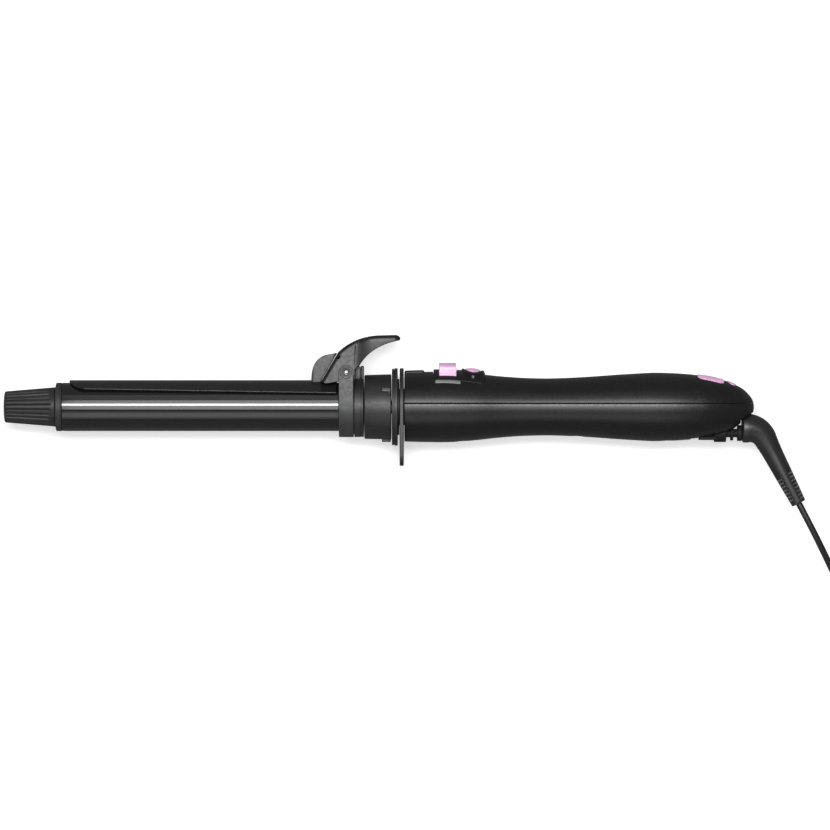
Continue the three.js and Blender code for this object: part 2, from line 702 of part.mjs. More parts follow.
// The boot's centreline: straight, a bend of BOOT_BEND_R, and straight again.
function bootPoint(length) {
  const bendLength = BOOT_BEND_R * CORD_ANGLE;
  const turn = THREE.MathUtils.clamp((length - BOOT_STRAIGHT) / BOOT_BEND_R, 0, CORD_ANGLE);
  const before = Math.min(length, BOOT_STRAIGHT);
  const after = Math.max(length - BOOT_STRAIGHT - bendLength, 0);
  const x = BOOT_START + before + BOOT_BEND_R * Math.sin(turn) + after * Math.cos(CORD_ANGLE);
  const y = BOOT_Y - BOOT_BEND_R * (1 - Math.cos(turn)) - after * Math.sin(CORD_ANGLE);
  return { x, y, turn };
}

// [distance along the boot, radius]
const BOOT_PROFILE = [[0, 6.9], [0.7, 7.5], [3, 7.5], [8.5, 6.9], [14, 6.1], [21.5, 5.3],
  [31, 4.85], [42, 4.3], [BOOT_LENGTH - 0.5, 3.8], [BOOT_LENGTH, 3.4]];

function cordBoot() {
  const curve = new THREE.SplineCurve(BOOT_PROFILE.map(([x, r]) => new THREE.Vector2(x, r)));
  const rim = curve.getPoints(14).map((p) => [p.x, p.y]);
  const geometry = turnedGeometry([[0, 0], ...rim, [BOOT_LENGTH, 0]], 16);
  const position = geometry.attributes.position;
  for (let i = 0; i < position.count; i++) {
    const at = bootPoint(position.getX(i));
    const out = position.getY(i);
    position.setXY(i, at.x + out * Math.sin(at.turn), at.y + out * Math.cos(at.turn));
  }
  return solid(geometry);
}

// Cord. Its wide side stands upright, so that it bends the easy way in the coil.
const bootEnd = bootPoint(BOOT_LENGTH);
const cordWay = new THREE.Vector3(Math.cos(CORD_ANGLE), -Math.sin(CORD_ANGLE), 0);
const cordLeft = new THREE.Vector3(-cordWay.y, cordWay.x, 0);
const LOW_Z = CORD_WIDTH / 2 + 0.05 - REST;
const COIL_OUTER_R = COIL_MIDDLE_R + (COIL_TURNS / 4) * COIL_PITCH;
const coilStart = new THREE.Vector3(bootEnd.x, bootEnd.y, LOW_Z).addScaledVector(cordWay, TANGENT_AT);
const coilCentre = coilStart.clone().addScaledVector(cordLeft, COIL_OUTER_R);

// [distance from the boot's end, height above the resting height of the cord]
const CORD_DESCENT = [[GAP, 17.25], [6, 17.25], [12, 17.1], [18, 16.2], [24, 14.1], [30, 11.3],
  [36, 8.3], [42, 5.4], [48, 3], [54, 1.3], [60, 0.4], [64, 0.1], [TANGENT_AT, 0]];

function flatSection() {
  const half = CORD_THICKNESS / 2;
  const flat = (CORD_WIDTH - CORD_THICKNESS) / 2;
  const d = half * 0.4;
  return outline([[-flat - half, -d], [-flat - half, d], [-flat, half], [flat, half],
    [flat + half, d], [flat + half, -d], [flat, -half], [-flat, -half]]);
}

function cordTube() {
  const points = CORD_DESCENT.map(([far, up]) => {
    return new THREE.Vector3(bootEnd.x, bootEnd.y, LOW_Z + up).addScaledVector(cordWay, far);
  });
  const path = new THREE.CatmullRomCurve3(points);
  const tube = solid(new THREE.ExtrudeGeometry(flatSection(), { steps: 18, extrudePath: path }));
  return tube.subtract(coilDisc(COIL_OUTER_R + CORD_THICKNESS / 2 + GAP + 0.1, LOW_Z - 10, 30));
}

function coilDisc(r, z0, z1) {
  return crossBar(coilCentre.x, coilCentre.y, r, z0, z1, 64);
}

const COIL_TOP = 2 * COIL_LAYER - REST;

function cordCoil() {
  const half = COIL_OUTER_R - COIL_MIDDLE_R + CORD_THICKNESS / 2 + 0.1;
  const inner = COIL_MIDDLE_R - half;
  const outer = COIL_MIDDLE_R + half;
  const profile = [[inner, -REST + 1], [inner + 1, -REST], [outer - 1, -REST], [outer, -REST + 1],
    [outer, COIL_TOP - 1], [outer - 1, COIL_TOP], [inner + 1, COIL_TOP], [inner, COIL_TOP - 1],
    [inner, -REST + 1]];
  const points = profile.map(([r, z]) => new THREE.Vector2(r, z));
  const geometry = new THREE.LatheGeometry(points, 36).rotateX(Math.PI / 2);
  const coil = solid(geometry.translate(coilCentre.x, coilCentre.y, 0));
  return coil.subtract(tieSpace());
}

// The tie goes round the coil's bundle on the side away from the iron.
const TIE_HALF = 4;
const TIE_THICK = 0.9;
const TIE_LIFT = 1.2;

function tieLoop() {
  const half = COIL_OUTER_R - COIL_MIDDLE_R + CORD_THICKNESS / 2 + 0.1 + GAP;
  const top = COIL_TOP + TIE_LIFT + GAP;
  return { near: COIL_MIDDLE_R - half - 0.6, far: COIL_MIDDLE_R + half + 0.6, top };
}

function tieSpace() {
  const { x, y } = coilCentre;
  const top = -REST + TIE_LIFT;
  return box(x - TIE_HALF - GAP, x + TIE_HALF + GAP, y - 60, y, -REST - 1, top);
}

function cordTie() {
  const { x, y } = coilCentre;
  const { near, far, top } = tieLoop();
  const t = TIE_THICK;
  const outer = box(x - TIE_HALF, x + TIE_HALF, y - far - t, y - near + t, -REST, top + t);
  return outer.subtract(box(x - 9, x + 9, y - far, y - near, -REST + t, top));
}

// The tail leaves the coil's top layer along +y and ends in the plug beside the coil.
const tailX = coilCentre.x + COIL_OUTER_R;
const TAIL_Z = LOW_Z + COIL_LAYER;
const PLUG_Z = 7.7 - REST;
const plugY = coilCentre.y + TAIL_LENGTH;

function cordTail() {
  const points = [0, 8, 16, TAIL_LENGTH - GAP].map((far, i) => {
    return new THREE.Vector3(tailX, coilCentre.y + far, TAIL_Z + (PLUG_Z - TAIL_Z) * (i / 3));
  });
  const path = new THREE.CatmullRomCurve3(points);
  const tube = solid(new THREE.ExtrudeGeometry(flatSection(), { steps: 6, extrudePath: path }));
  return tube.subtract(coilDisc(COIL_OUTER_R + CORD_THICKNESS / 2 + GAP + 0.1, LOW_Z - 10, 30));
}

// [distance from the plug's cord end, half width across, half height]
const PLUG_SECTIONS = [[0, 4.2, 4.2], [9, 5.2, 5], [16, 6.2, 6], [21, 10.5, 7], [25, 12.2, 7.6],
  [38, 12.2, 7.6], [40, 11.6, 7.1]];

// A surface through oval rings, closed at both ends.
function plugBody() {
  const sides = 24;
  const rings = PLUG_SECTIONS.map(([far, w, h]) => {
    return Array.from({ length: sides }, (_, i) => {
      const a = (i / sides) * 2 * Math.PI;
      const square = 1 / Math.max(Math.abs(Math.cos(a)), Math.abs(Math.sin(a))) ** 0.45;
      return [tailX + w * square * 0.9 * Math.cos(a), plugY + far, PLUG_Z + h * square * 0.86 * Math.sin(a)];
    });
  });
  const position = rings.flat().flat();
  const index = [];
  for (let k = 0; k + 1 < rings.length; k++) {
    for (let i = 0; i < sides; i++) {
      const a = k * sides + i;
      const b = k * sides + ((i + 1) % sides);
      index.push(a, a + sides, b, b, a + sides, b + sides);
    }
  }
  const last = (rings.length - 1) * sides;
  for (let i = 1; i + 1 < sides; i++) {
    index.push(0, i, i + 1, last, last + i + 1, last + i);
  }
  const geometry = new THREE.BufferGeometry();
  geometry.setAttribute("position", new THREE.Float32BufferAttribute(position, 3));
  geometry.setIndex(index);
  return solid(geometry);
}

const BLADE_SPACING = 12.7;

function plugBlade(side) {
  const x = tailX + (side * BLADE_SPACING) / 2;
  const y = plugY + 40 + GAP;
  const blade = new THREE.Shape();
  blade.moveTo(y, -3.17);
  blade.lineTo(y + 15.6, -3.17);
  blade.lineTo(y + 17.4, -1.6);
  blade.lineTo(y + 17.4, 1.6);
  blade.lineTo(y + 15.6, 3.17);
  blade.lineTo(y, 3.17);
  blade.holes.push(new THREE.Path().absarc(y + 12.4, 0, 1.6, 0, 2 * Math.PI));
  const settings = { depth: 1.5, bevelEnabled: false, curveSegments: 8 };
  const geometry = new THREE.ExtrudeGeometry(blade, settings).translate(0, 0, -0.75);
  geometry.applyMatrix4(new THREE.Matrix4().makeBasis(
    new THREE.Vector3(0, 1, 0), new THREE.Vector3(0, 0, 1), new THREE.Vector3(1, 0, 0)));
  return solid(geometry.translate(x, 0, PLUG_Z));
}

// Assembly
piece("cool_tip", coolTip(), gripPlastic);
piece("tip_collar", tipCollar(), gripPlastic);
piece("barrel_tube", barrelTube(), barrelCoat);
piece("heater_block_upper", heaterBlock(1), aluminium);
piece("heater_block_lower", heaterBlock(-1), aluminium);
piece("heater_element", heaterElement(), ceramic);
piece("barrel_end_plug", endPlug(), ceramic);
piece("thermistor", thermistor(), ceramic);
piece("clamp_spoon", clampSpoon(), barrelCoat);
piece("clamp_boss", clampBoss(), leverPlastic);
piece("thumb_lever", thumbLever(), leverPlastic);
piece("hinge_yoke", hingeYoke(), leverPlastic);
piece("hinge_pin", hingePin(), steel);
piece("hinge_collar", hingeCollar(), gripPlastic);
piece("torsion_spring", torsionSpring(), steel);
piece("rear_collar", rearCollar(), gripPlastic);
piece("head_flange", headFlange(), gripPlastic);
piece("contact_pin", contactPin(), brass);
piece("stand_plate", standPlate(), gripPlastic);
piece("bayonet_socket", bayonetSocket(), gripPlastic);
piece("contact_socket", contactSocket(), brass);
piece("handle_upper_shell", upperShell(), shellPlastic);
piece("handle_lower_shell", lowerShell(), shellPlastic);
SCREWS.forEach((screw, i) => piece(`shell_screw_${i + 1}`, shellScrew(screw), steel));
piece("control_panel", controlPanel(), gripPlastic);
piece("slider_trim_left", trimBar(-1), trimPlastic);
piece("slider_trim_right", trimBar(1), trimPlastic);
piece("lock_slider", lockSlider(), pinkPlastic);
piece("release_latch", releaseLatch(), steel);
piece("power_bezel", powerBezel(), shellPlastic);
piece("power_button", powerButton(), pinkPlastic);
piece("temperature_rocker", temperatureRocker(), pinkPlastic);
piece("mode_button", modeButton(), pinkPlastic);
piece("main_board", mainBoard(), boardGreen);
piece("power_switch", tactSwitch(POWER_X, 15.4), shellPlastic);
piece("cooler_switch", tactSwitch(TEMPERATURE.start + 2.6, 14), shellPlastic);
piece("hotter_switch", tactSwitch(TEMPERATURE.end - 2.6, 12.5), shellPlastic);
piece("mode_switch", tactSwitch(MODE_X, 10.4), shellPlastic);
piece("swivel_retainer", swivelRetainer(), gripPlastic);
piece("swivel_neck", swivelNeck(), gripPlastic);
piece("cord_boot", cordBoot(), cordRubber);
piece("cord_tube", cordTube(), cordRubber);
piece("cord_coil", cordCoil(), cordRubber);
piece("cord_tie", cordTie(), gripPlastic);
piece("cord_tail", cordTail(), cordRubber);
piece("plug_body", plugBody(), cordRubber);
piece("plug_blade_left", plugBlade(-1), nickel);
piece("plug_blade_right", plugBlade(1), nickel);

export default iron;
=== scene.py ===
"""Looks of a clamp curling iron that lies on its side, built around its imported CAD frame."""

import json
import math

import bmesh
import bpy
from mathutils import Matrix, Vector


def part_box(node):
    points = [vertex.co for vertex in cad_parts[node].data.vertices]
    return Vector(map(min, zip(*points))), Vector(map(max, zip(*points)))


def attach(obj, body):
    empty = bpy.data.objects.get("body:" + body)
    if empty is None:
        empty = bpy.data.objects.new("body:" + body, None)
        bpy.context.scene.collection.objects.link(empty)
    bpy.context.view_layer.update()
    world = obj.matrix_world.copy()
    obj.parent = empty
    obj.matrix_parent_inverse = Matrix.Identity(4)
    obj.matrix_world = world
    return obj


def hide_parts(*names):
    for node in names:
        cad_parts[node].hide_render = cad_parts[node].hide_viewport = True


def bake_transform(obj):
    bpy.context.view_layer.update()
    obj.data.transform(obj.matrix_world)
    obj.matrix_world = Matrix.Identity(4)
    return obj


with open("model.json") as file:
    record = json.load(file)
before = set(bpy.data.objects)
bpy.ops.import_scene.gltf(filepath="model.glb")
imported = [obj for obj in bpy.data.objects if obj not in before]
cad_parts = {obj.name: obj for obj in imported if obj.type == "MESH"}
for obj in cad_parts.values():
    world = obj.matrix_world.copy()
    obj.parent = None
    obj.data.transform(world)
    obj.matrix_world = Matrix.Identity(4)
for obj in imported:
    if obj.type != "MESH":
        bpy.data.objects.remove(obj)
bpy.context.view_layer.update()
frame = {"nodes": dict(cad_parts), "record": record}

NODE_BODY = {n: body for body, nodes in frame["record"]["behaviour"]["bodies"].items() for n in nodes}
NODE_SLOT = {s["node"]: s["material_slot"] for s in frame["record"]["subparts"]}

# The pieces are drawn in the iron's own frame, in millimetres: x from the front of the cool tip,
# y towards the thumb lever, z across the iron, with the barrel's centreline as the x axis.
MM = 0.001
TIP_LOW, TIP_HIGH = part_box("cool_tip")
AXIS_Y = (TIP_LOW.y + TIP_HIGH.y) / 2
AXIS_Z = (TIP_LOW.z + TIP_HIGH.z) / 2
TO_WORLD = Matrix.Translation((TIP_LOW.x, AXIS_Y, AXIS_Z)) @ Matrix.Scale(MM, 4)


def local(point):
    return TO_WORLD.inverted() @ Vector(point)


def span(node):
    """The lowest and highest corners of a CAD node, in the iron's own frame."""
    low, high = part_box(node)
    return local(low), local(high)


# Camera: straight above the iron, as the photograph looks at its side
VIEW_WIDTH = 428.7
VIEW_CENTRE = Vector((211.82, -4.18, 0))
LENS = 200
SENSOR = 36


def make_camera():
    data = bpy.data.cameras.new("camera")
    data.lens = LENS
    data.sensor_width = SENSOR
    data.clip_end = 50
    camera = bpy.data.objects.new("camera", data)
    bpy.context.scene.collection.objects.link(camera)
    distance = VIEW_WIDTH * LENS / SENSOR
    camera.location = TO_WORLD @ (VIEW_CENTRE + Vector((0, 0, distance)))
    bpy.context.scene.camera = camera


make_camera()


# Mesh tools
def new_piece(name, verts, faces):
    mesh = bpy.data.meshes.new(name)
    mesh.from_pydata([tuple(v) for v in verts], [], faces)
    mesh.update()
    piece = bpy.data.objects.new(name, mesh)
    bpy.context.scene.collection.objects.link(piece)
    edit(piece, lambda bm: bmesh.ops.recalc_face_normals(bm, faces=bm.faces))
    return piece


def edit(piece, change):
    bm = bmesh.new()
    bm.from_mesh(piece.data)
    change(bm)
    bm.to_mesh(piece.data)
    bm.free()
    piece.data.update()


def loft(name, rings, around=False):
    """A surface through rings with equal numbers of points. A ring of one point is a pole."""
    verts = []
    starts = []
    for ring in rings:
        starts.append(len(verts))
        verts.extend(ring)
    faces = []
    pairs = list(zip(range(len(rings)), range(1, len(rings))))
    if around:
        pairs.append((len(rings) - 1, 0))
    for i, j in pairs:
        a, b = rings[i], rings[j]
        count = max(len(a), len(b))
        for k in range(count):
            n = (k + 1) % count
            corners = []
            for at, ring, index in ((i, a, k), (i, a, n), (j, b, n), (j, b, k)):
                corner = starts[at] + (index if len(ring) > 1 else 0)
                if corner not in corners:
                    corners.append(corner)
            faces.append(corners)
    if not around:
        for ring, start, turn in ((rings[0], starts[0], -1), (rings[-1], starts[-1], 1)):
            if len(ring) > 2:
                faces.append([start + k for k in range(len(ring))][::turn])
    return new_piece(name, verts, faces)


def rounded(corners, closed=False, steps=5):
    """A line through corners (x, y, fillet), with each fillet drawn as a curve."""
    line = []
    count = len(corners)
    for i, corner in enumerate(corners):
        fillet = corner[2] if len(corner) > 2 else 0
        if not fillet or (not closed and i in (0, count - 1)):
            line.append(tuple(corner[:2]))
            continue
        here = Vector(corner[:2])
        before = Vector(corners[i - 1][:2])
        after = Vector(corners[(i + 1) % count][:2])
        a = here + (before - here).normalized() * fillet
        b = here + (after - here).normalized() * fillet
        for k in range(steps + 1):
            t = k / steps
            line.append(tuple(a * (1 - t) ** 2 + here * 2 * t * (1 - t) + b * t * t))
    return line


def circle(sides):
    return [2 * math.pi * k / sides for k in range(sides)]


def disc(x, y, r, sides=48):
    """A round outline."""
    return [(x + r * math.cos(a), y + r * math.sin(a)) for a in circle(sides)]


def turned(name, profile, sides=96, y=0.0, z=0.0, around=False):
    """A body of revolution about a line along x. The profile is a list of (x, radius)."""
    rings = []
    for x, r in profile:
        rings.append([(x, v, w) for v, w in disc(y, z, r, sides)] if r else [(x, y, z)])
    return loft(name, rings, around)


AXES = {
    "x": lambda a, b, h: (h, b, a),
    "y": lambda a, b, h: (a, h, b),
    "z": lambda a, b, h: (a, b, h),
}


def prism(name, outline, low, high, axis, bevel=0.0):
    """An outline drawn out along an axis: (z, y) along x, (x, z) along y or (x, y) along z."""
    to3 = AXES[axis]
    piece = loft(name, [[to3(a, b, h) for a, b in outline] for h in (low, high)])
    if bevel:
        soften(piece, bevel)
    return piece


def soften(piece, width, steps=3, chosen=None, angle=40, clamp=True):
    """Rounds the sharp edges, or those of them that chosen picks."""
    def change(bm):
        edges = [e for e in bm.edges if len(e.link_faces) == 2
                 and e.calc_face_angle() > math.radians(angle) and (chosen is None or chosen(e))]
        bmesh.ops.bevel(bm, geom=edges, offset=width, offset_type="OFFSET", segments=steps,
                        profile=0.5, affect="EDGES", clamp_overlap=clamp)
    edit(piece, change)


def block(name, low, high, bevel=0.0):
    outline = [(low[0], low[1]), (high[0], low[1]), (high[0], high[1]), (low[0], high[1])]
    return prism(name, outline, low[2], high[2], "z", bevel)


def pin_bore():
    """The hole for the hinge pin, right across the iron."""
    return prism("bore", disc(PIVOT_X, PIVOT_Y, PIN_BORE_R, 64), -20, 20, "z")


def combine(piece, tool, operation):
    modifier = piece.modifiers.new(operation, "BOOLEAN")
    modifier.operation = operation
    modifier.solver = "EXACT"
    modifier.object = tool
    bpy.context.view_layer.update()
    seen = piece.evaluated_get(bpy.context.evaluated_depsgraph_get())
    mesh = bpy.data.meshes.new_from_object(seen)
    piece.modifiers.clear()
    piece.data = mesh
    bpy.data.objects.remove(tool)
    return piece


def cut(piece, *tools):
    for tool in tools:
        combine(piece, tool, "DIFFERENCE")
    return piece


def join(piece, *more):
    for other in more:
        combine(piece, other, "UNION")
    return piece


def common(piece, *tools):
    for tool in tools:
        combine(piece, tool, "INTERSECT")
    return piece


def bezier(p0, p1, p2, p3, steps):
    points = []
    for k in range(steps + 1):
        t = k / steps
        u = 1 - t
        points.append(tuple(u ** 3 * a + 3 * u * u * t * b + 3 * u * t * t * c + t ** 3 * d
                            for a, b, c, d in zip(p0, p1, p2, p3)))
    return points


def arc(x, y, r, start, end, steps):
    """Points on an arc, with its angles in radians."""
    angles = [start + (end - start) * k / steps for k in range(steps + 1)]
    return [(x + r * math.cos(a), y + r * math.sin(a)) for a in angles]


def smoothstep(low, high, x):
    t = min(max((x - low) / (high - low), 0), 1)
    return t * t * (3 - 2 * t)


def dress(piece, node, material, sharp=32, extra=False):
    """Puts a finished piece in place. It moves with a CAD node's body and stands for that node,
    unless it is an extra to the piece that does."""
    piece.data.transform(TO_WORLD)
    piece.data.shade_smooth()
    piece.data.set_sharp_from_angle(angle=math.radians(sharp))
    piece.data.materials.clear()
    piece.data.materials.append(material)
    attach(piece, NODE_BODY[node])
    if not extra:
        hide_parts(node)
    return piece


# Materials
def shader_setup(name):
    material = bpy.data.materials.new(name)
    material.use_nodes = True
    tree = material.node_tree
    shader = tree.nodes["Principled BSDF"]
    coordinates = tree.nodes.new("ShaderNodeTexCoord")
    millimetres = tree.nodes.new("ShaderNodeMapping")
    millimetres.inputs["Scale"].default_value = (1000, 1000, 1000)
    tree.links.new(coordinates.outputs["Object"], millimetres.inputs["Vector"])
    return material, tree, shader, millimetres.outputs["Vector"]


def noise(tree, vector, scale, detail=4.0, stretch=(1, 1, 1)):
    """A noise pattern with its scale in cycles a millimetre."""
    mapping = tree.nodes.new("ShaderNodeMapping")
    mapping.inputs["Scale"].default_value = stretch
    tree.links.new(vector, mapping.inputs["Vector"])
    texture = tree.nodes.new("ShaderNodeTexNoise")
    texture.inputs["Scale"].default_value = scale
    texture.inputs["Detail"].default_value = detail
    tree.links.new(mapping.outputs["Vector"], texture.inputs["Vector"])
    return texture.outputs["Fac"]


def between(tree, value, low, high):
    """Spreads the middle of a noise value over low..high."""
    spread = tree.nodes.new("ShaderNodeMapRange")
    spread.inputs["From Min"].default_value = 0.35
    spread.inputs["From Max"].default_value = 0.65
    spread.inputs["To Min"].default_value = low
    spread.inputs["To Max"].default_value = high
    tree.links.new(value, spread.inputs["Value"])
    return spread.outputs["Result"]


def tint(tree, value, dark, light):
    mix = tree.nodes.new("ShaderNodeMix")
    mix.data_type = "RGBA"
    mix.inputs["A"].default_value = (*dark, 1)
    mix.inputs["B"].default_value = (*light, 1)
    tree.links.new(value, mix.inputs["Factor"])
    return mix.outputs["Result"]


def bump(tree, shader, height, strength, distance):
    node = tree.nodes.new("ShaderNodeBump")
    node.inputs["Strength"].default_value = strength
    node.inputs["Distance"].default_value = distance * MM
    tree.links.new(height, node.inputs["Height"])
    tree.links.new(node.outputs["Normal"], shader.inputs["Normal"])


FINISHES = {}


def finish(name, color, roughness, vary=0.18, grain=3.0, depth=0.01, metallic=0.0, specular=0.5,
           coat=0.0, stretch=(1, 1, 1)):
    """A surface with soft mottling, uneven gloss and a fine grain. grain is in cycles a millimetre."""
    material, tree, shader, vector = shader_setup(name)
    mottle = between(tree, noise(tree, vector, 0.12, 5), 0, 1)
    dark = [c * (1 - vary) for c in color]
    light = [min(c * (1 + vary), 1) for c in color]
    tree.links.new(tint(tree, mottle, dark, light), shader.inputs["Base Color"])
    gloss = between(tree, noise(tree, vector, 0.6, 6, stretch), roughness * 0.9, roughness * 1.12)
    tree.links.new(gloss, shader.inputs["Roughness"])
    shader.inputs["Metallic"].default_value = metallic
    shader.inputs["Specular IOR Level"].default_value = specular
    shader.inputs["Coat Weight"].default_value = coat
    shader.inputs["Coat Roughness"].default_value = 0.08
    bump(tree, shader, noise(tree, vector, grain, 3, stretch), 0.35, depth)
    FINISHES[name] = material
    return material


tip_plastic = finish("tip_plastic", (0.022, 0.022, 0.023), 0.42, grain=2.2, depth=0.02)
collar_ring = finish("tip_collar_plastic", (0.028, 0.028, 0.03), 0.5, grain=2.2, depth=0.02)
barrel_coating = finish("barrel_coating", (0.008, 0.008, 0.0083), 0.09, vary=0.1, grain=1.2, depth=0.0012,
                        specular=1.0)
clamp_coating = finish("clamp_coating", (0.014, 0.014, 0.0145), 0.2, vary=0.1, grain=1.6, depth=0.004)
lever_plastic = finish("lever_plastic", (0.03, 0.03, 0.031), 0.5, grain=2.6, depth=0.02, specular=0.8)
# A darker plastic for painted shade, on the lever faces that turn up or back and on the spring seat's rim.
painted_shade_dark = finish("painted_shade_dark_plastic", (0.012, 0.012, 0.0124), 0.42, grain=2.6, depth=0.01)
yoke_paint = finish("yoke_paint", (0.03, 0.03, 0.031), 0.48, grain=2.4, depth=0.014, specular=0.8)
steel = finish("steel", (0.75, 0.75, 0.76), 0.16, vary=0.05, grain=2, depth=0.002, metallic=1.0)
collar_plastic = finish("collar_plastic", (0.022, 0.022, 0.023), 0.42, grain=2.4, depth=0.012)
swivel_plastic = finish("swivel_plastic", (0.012, 0.012, 0.0124), 0.6, grain=2.4, depth=0.01, specular=0.2)
handle_plastic = finish("handle_plastic", (0.008, 0.008, 0.0083), 0.3, vary=0.12, grain=1.6, depth=0.002)
panel_plastic = finish("panel_plastic", (0.008, 0.008, 0.0085), 0.24, grain=2.2, depth=0.005)
trim_plastic = finish("trim_plastic", (0.17, 0.185, 0.178), 0.45, grain=2.4, depth=0.01)
pink_plastic = finish("pink_plastic", (0.80, 0.44, 0.71), 0.34, vary=0.05, grain=1.8, depth=0.006, coat=0.2)
boot_rubber = finish("boot_rubber", (0.016, 0.016, 0.0165), 0.36, grain=3, depth=0.012, specular=0.7)
cord_jacket = finish("cord_jacket", (0.016, 0.016, 0.0165), 0.29, grain=2.6, depth=0.008, specular=0.7)
tie_plastic = finish("tie_plastic", (0.02, 0.02, 0.02), 0.6, grain=3.4, depth=0.03)
plug_plastic = finish("plug_plastic", (0.018, 0.018, 0.0185), 0.42, grain=2.6, depth=0.012)
nickel = finish("plug_nickel", (0.80, 0.78, 0.74), 0.2, vary=0.05, metallic=1.0, depth=0.002,
                stretch=(1, 0.05, 1))
finish("contact_brass", (0.72, 0.5, 0.22), 0.22, vary=0.08, metallic=1.0, depth=0.002)
finish("heater_aluminium", (0.62, 0.63, 0.65), 0.38, vary=0.08, grain=1.5, metallic=1.0, stretch=(0.05, 1, 1))
finish("ceramic", (0.82, 0.79, 0.72), 0.65, vary=0.06, grain=3)
finish("circuit_board", (0.02, 0.15, 0.06), 0.35, vary=0.25)
finish("switch_plastic", (0.03, 0.03, 0.03), 0.5)

# Cord: its route is the CAD model's, worked out from the same dimensions
CORD_ANGLE = math.radians(62.4)
CORD_WIDTH = 5.4
CORD_THICKNESS = 3.2
BOOT_START = 380.7
BOOT_LENGTH = 51.6
BOOT_STRAIGHT = 3
BOOT_BEND_R = 10
BOOT_Y = -10.95
REST = 20
LOW_Z = CORD_WIDTH / 2 + 0.05 - REST
TANGENT_AT = 68
CORD_DESCENT = [(0.3, 17.25), (6, 17.25), (12, 17.1), (18, 16.2), (24, 14.1), (30, 11.3), (36, 8.3),
                (42, 5.4), (48, 3), (54, 1.3), (60, 0.4), (64, 0.1), (TANGENT_AT, 0)]
COIL_MIDDLE_R = 29.8
COIL_PITCH = 3.42
COIL_TURNS = 9.423
COIL_LAYER = 5.45
COIL_OUTER_R = COIL_MIDDLE_R + COIL_TURNS / 4 * COIL_PITCH
TAIL_LENGTH = 24
PLUG_Z = 7.7 - REST
TIE_HALF = 4
TIE_LIFT = 1.2
EXIT_GAP = 0.3


def boot_point(length):
    """The boot's centreline: straight, a bend and straight again, with the angle that it has turned."""
    turn = min(max((length - BOOT_STRAIGHT) / BOOT_BEND_R, 0), CORD_ANGLE)
    before = min(length, BOOT_STRAIGHT)
    after = max(length - BOOT_STRAIGHT - BOOT_BEND_R * CORD_ANGLE, 0)
    x = BOOT_START + before + BOOT_BEND_R * math.sin(turn) + after * math.cos(CORD_ANGLE)
    y = BOOT_Y - BOOT_BEND_R * (1 - math.cos(turn)) - after * math.sin(CORD_ANGLE)
    return x, y, turn


def catmull(points, steps):
    """A smooth curve through points, with steps points to each stretch."""
    padded = [points[0] * 2 - points[1], *points, points[-1] * 2 - points[-2]]
    line = []
    for i in range(1, len(padded) - 2):
        a, b, c, d = padded[i - 1:i + 3]
        for k in range(steps):
            t = k / steps
            line.append(0.5 * ((2 * b) + (c - a) * t + (2 * a - 5 * b + 4 * c - d) * t * t
                               + (3 * b - a - 3 * c + d) * t ** 3))
    line.append(points[-1])
    return line


END_X, END_Y, _ = boot_point(BOOT_LENGTH)
CORD_WAY = Vector((math.cos(CORD_ANGLE), -math.sin(CORD_ANGLE), 0))
CORD_LEFT = Vector((-CORD_WAY.y, CORD_WAY.x, 0))
COIL_START = Vector((END_X, END_Y, LOW_Z)) + CORD_WAY * TANGENT_AT
COIL_CENTRE = COIL_START + CORD_LEFT * COIL_OUTER_R
TAIL_X = COIL_CENTRE.x + COIL_OUTER_R
PLUG_Y = COIL_CENTRE.y + TAIL_LENGTH


def coil_points(steps_per_turn=40):
    """Down and in for half the turns on the lower layer, then back out on the upper one."""
    from_centre = COIL_START - COIL_CENTRE
    start = math.atan2(from_centre.y, from_centre.x)
    inner_r = COIL_OUTER_R - COIL_TURNS / 2 * COIL_PITCH
    count = round(COIL_TURNS * steps_per_turn)
    points = []
    for k in range(1, count + 1):
        turns = COIL_TURNS * k / count
        angle = start + turns * 2 * math.pi
        radius = inner_r + COIL_PITCH * abs(turns - COIL_TURNS / 2)
        layer = COIL_LAYER * smoothstep(COIL_TURNS / 2 - 0.15, COIL_TURNS / 2 + 0.15, turns)
        x = radius * math.cos(angle)
        y = radius * math.sin(angle)
        over_tie = TIE_LIFT * smoothstep(12, 5, abs(x)) if y < 0 else 0
        points.append(COIL_CENTRE + Vector((x, y, layer + over_tie)))
    return points


def cord_route():
    descent = [Vector((END_X, END_Y, LOW_Z + up)) + CORD_WAY * far for far, up in CORD_DESCENT]
    line = catmull(descent, 3)
    line.extend(coil_points())
    last = line[-1]
    for k in range(1, 9):
        far = TAIL_LENGTH * k / 8 - EXIT_GAP * (k == 8)
        sink = (PLUG_Z - LOW_Z - COIL_LAYER) * smoothstep(0, TAIL_LENGTH, far)
        line.append(Vector((TAIL_X, last.y + far, last.z + sink)))
    return line


def cord_section(steps=6):
    """A flat twin cord: two round cores side by side under one skin, as (up, across)."""
    half = CORD_THICKNESS / 2
    offset = (CORD_WIDTH - CORD_THICKNESS) / 2
    waist = half * 0.93
    top = [(offset + half * math.cos(a), half * math.sin(a))
           for a in [-1.35 + 2.7 * k / steps for k in range(steps + 1)]]
    bottom = [(-u, -v) for u, v in top]
    return [*top, (0, waist), *bottom, (0, -waist)]


def tube_along(name, route, section):
    """A tube whose section keeps its first direction upright."""
    rings = []
    for i, here in enumerate(route):
        way = (route[min(i + 1, len(route) - 1)] - route[max(i - 1, 0)]).normalized()
        across = way.cross(Vector((0, 0, 1))).normalized()
        up = across.cross(way)
        rings.append([here + up * u + across * v for u, v in section])
    return loft(name, rings)


def make_cord():
    route = cord_route()
    cord = tube_along("mains_cord", route, cord_section())
    dress(cord, "cord_tube", cord_jacket, sharp=60)
    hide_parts("cord_coil", "cord_tail")
    return cord, [tuple(TO_WORLD @ p) for p in route]


CORD, CORD_PATH = make_cord()


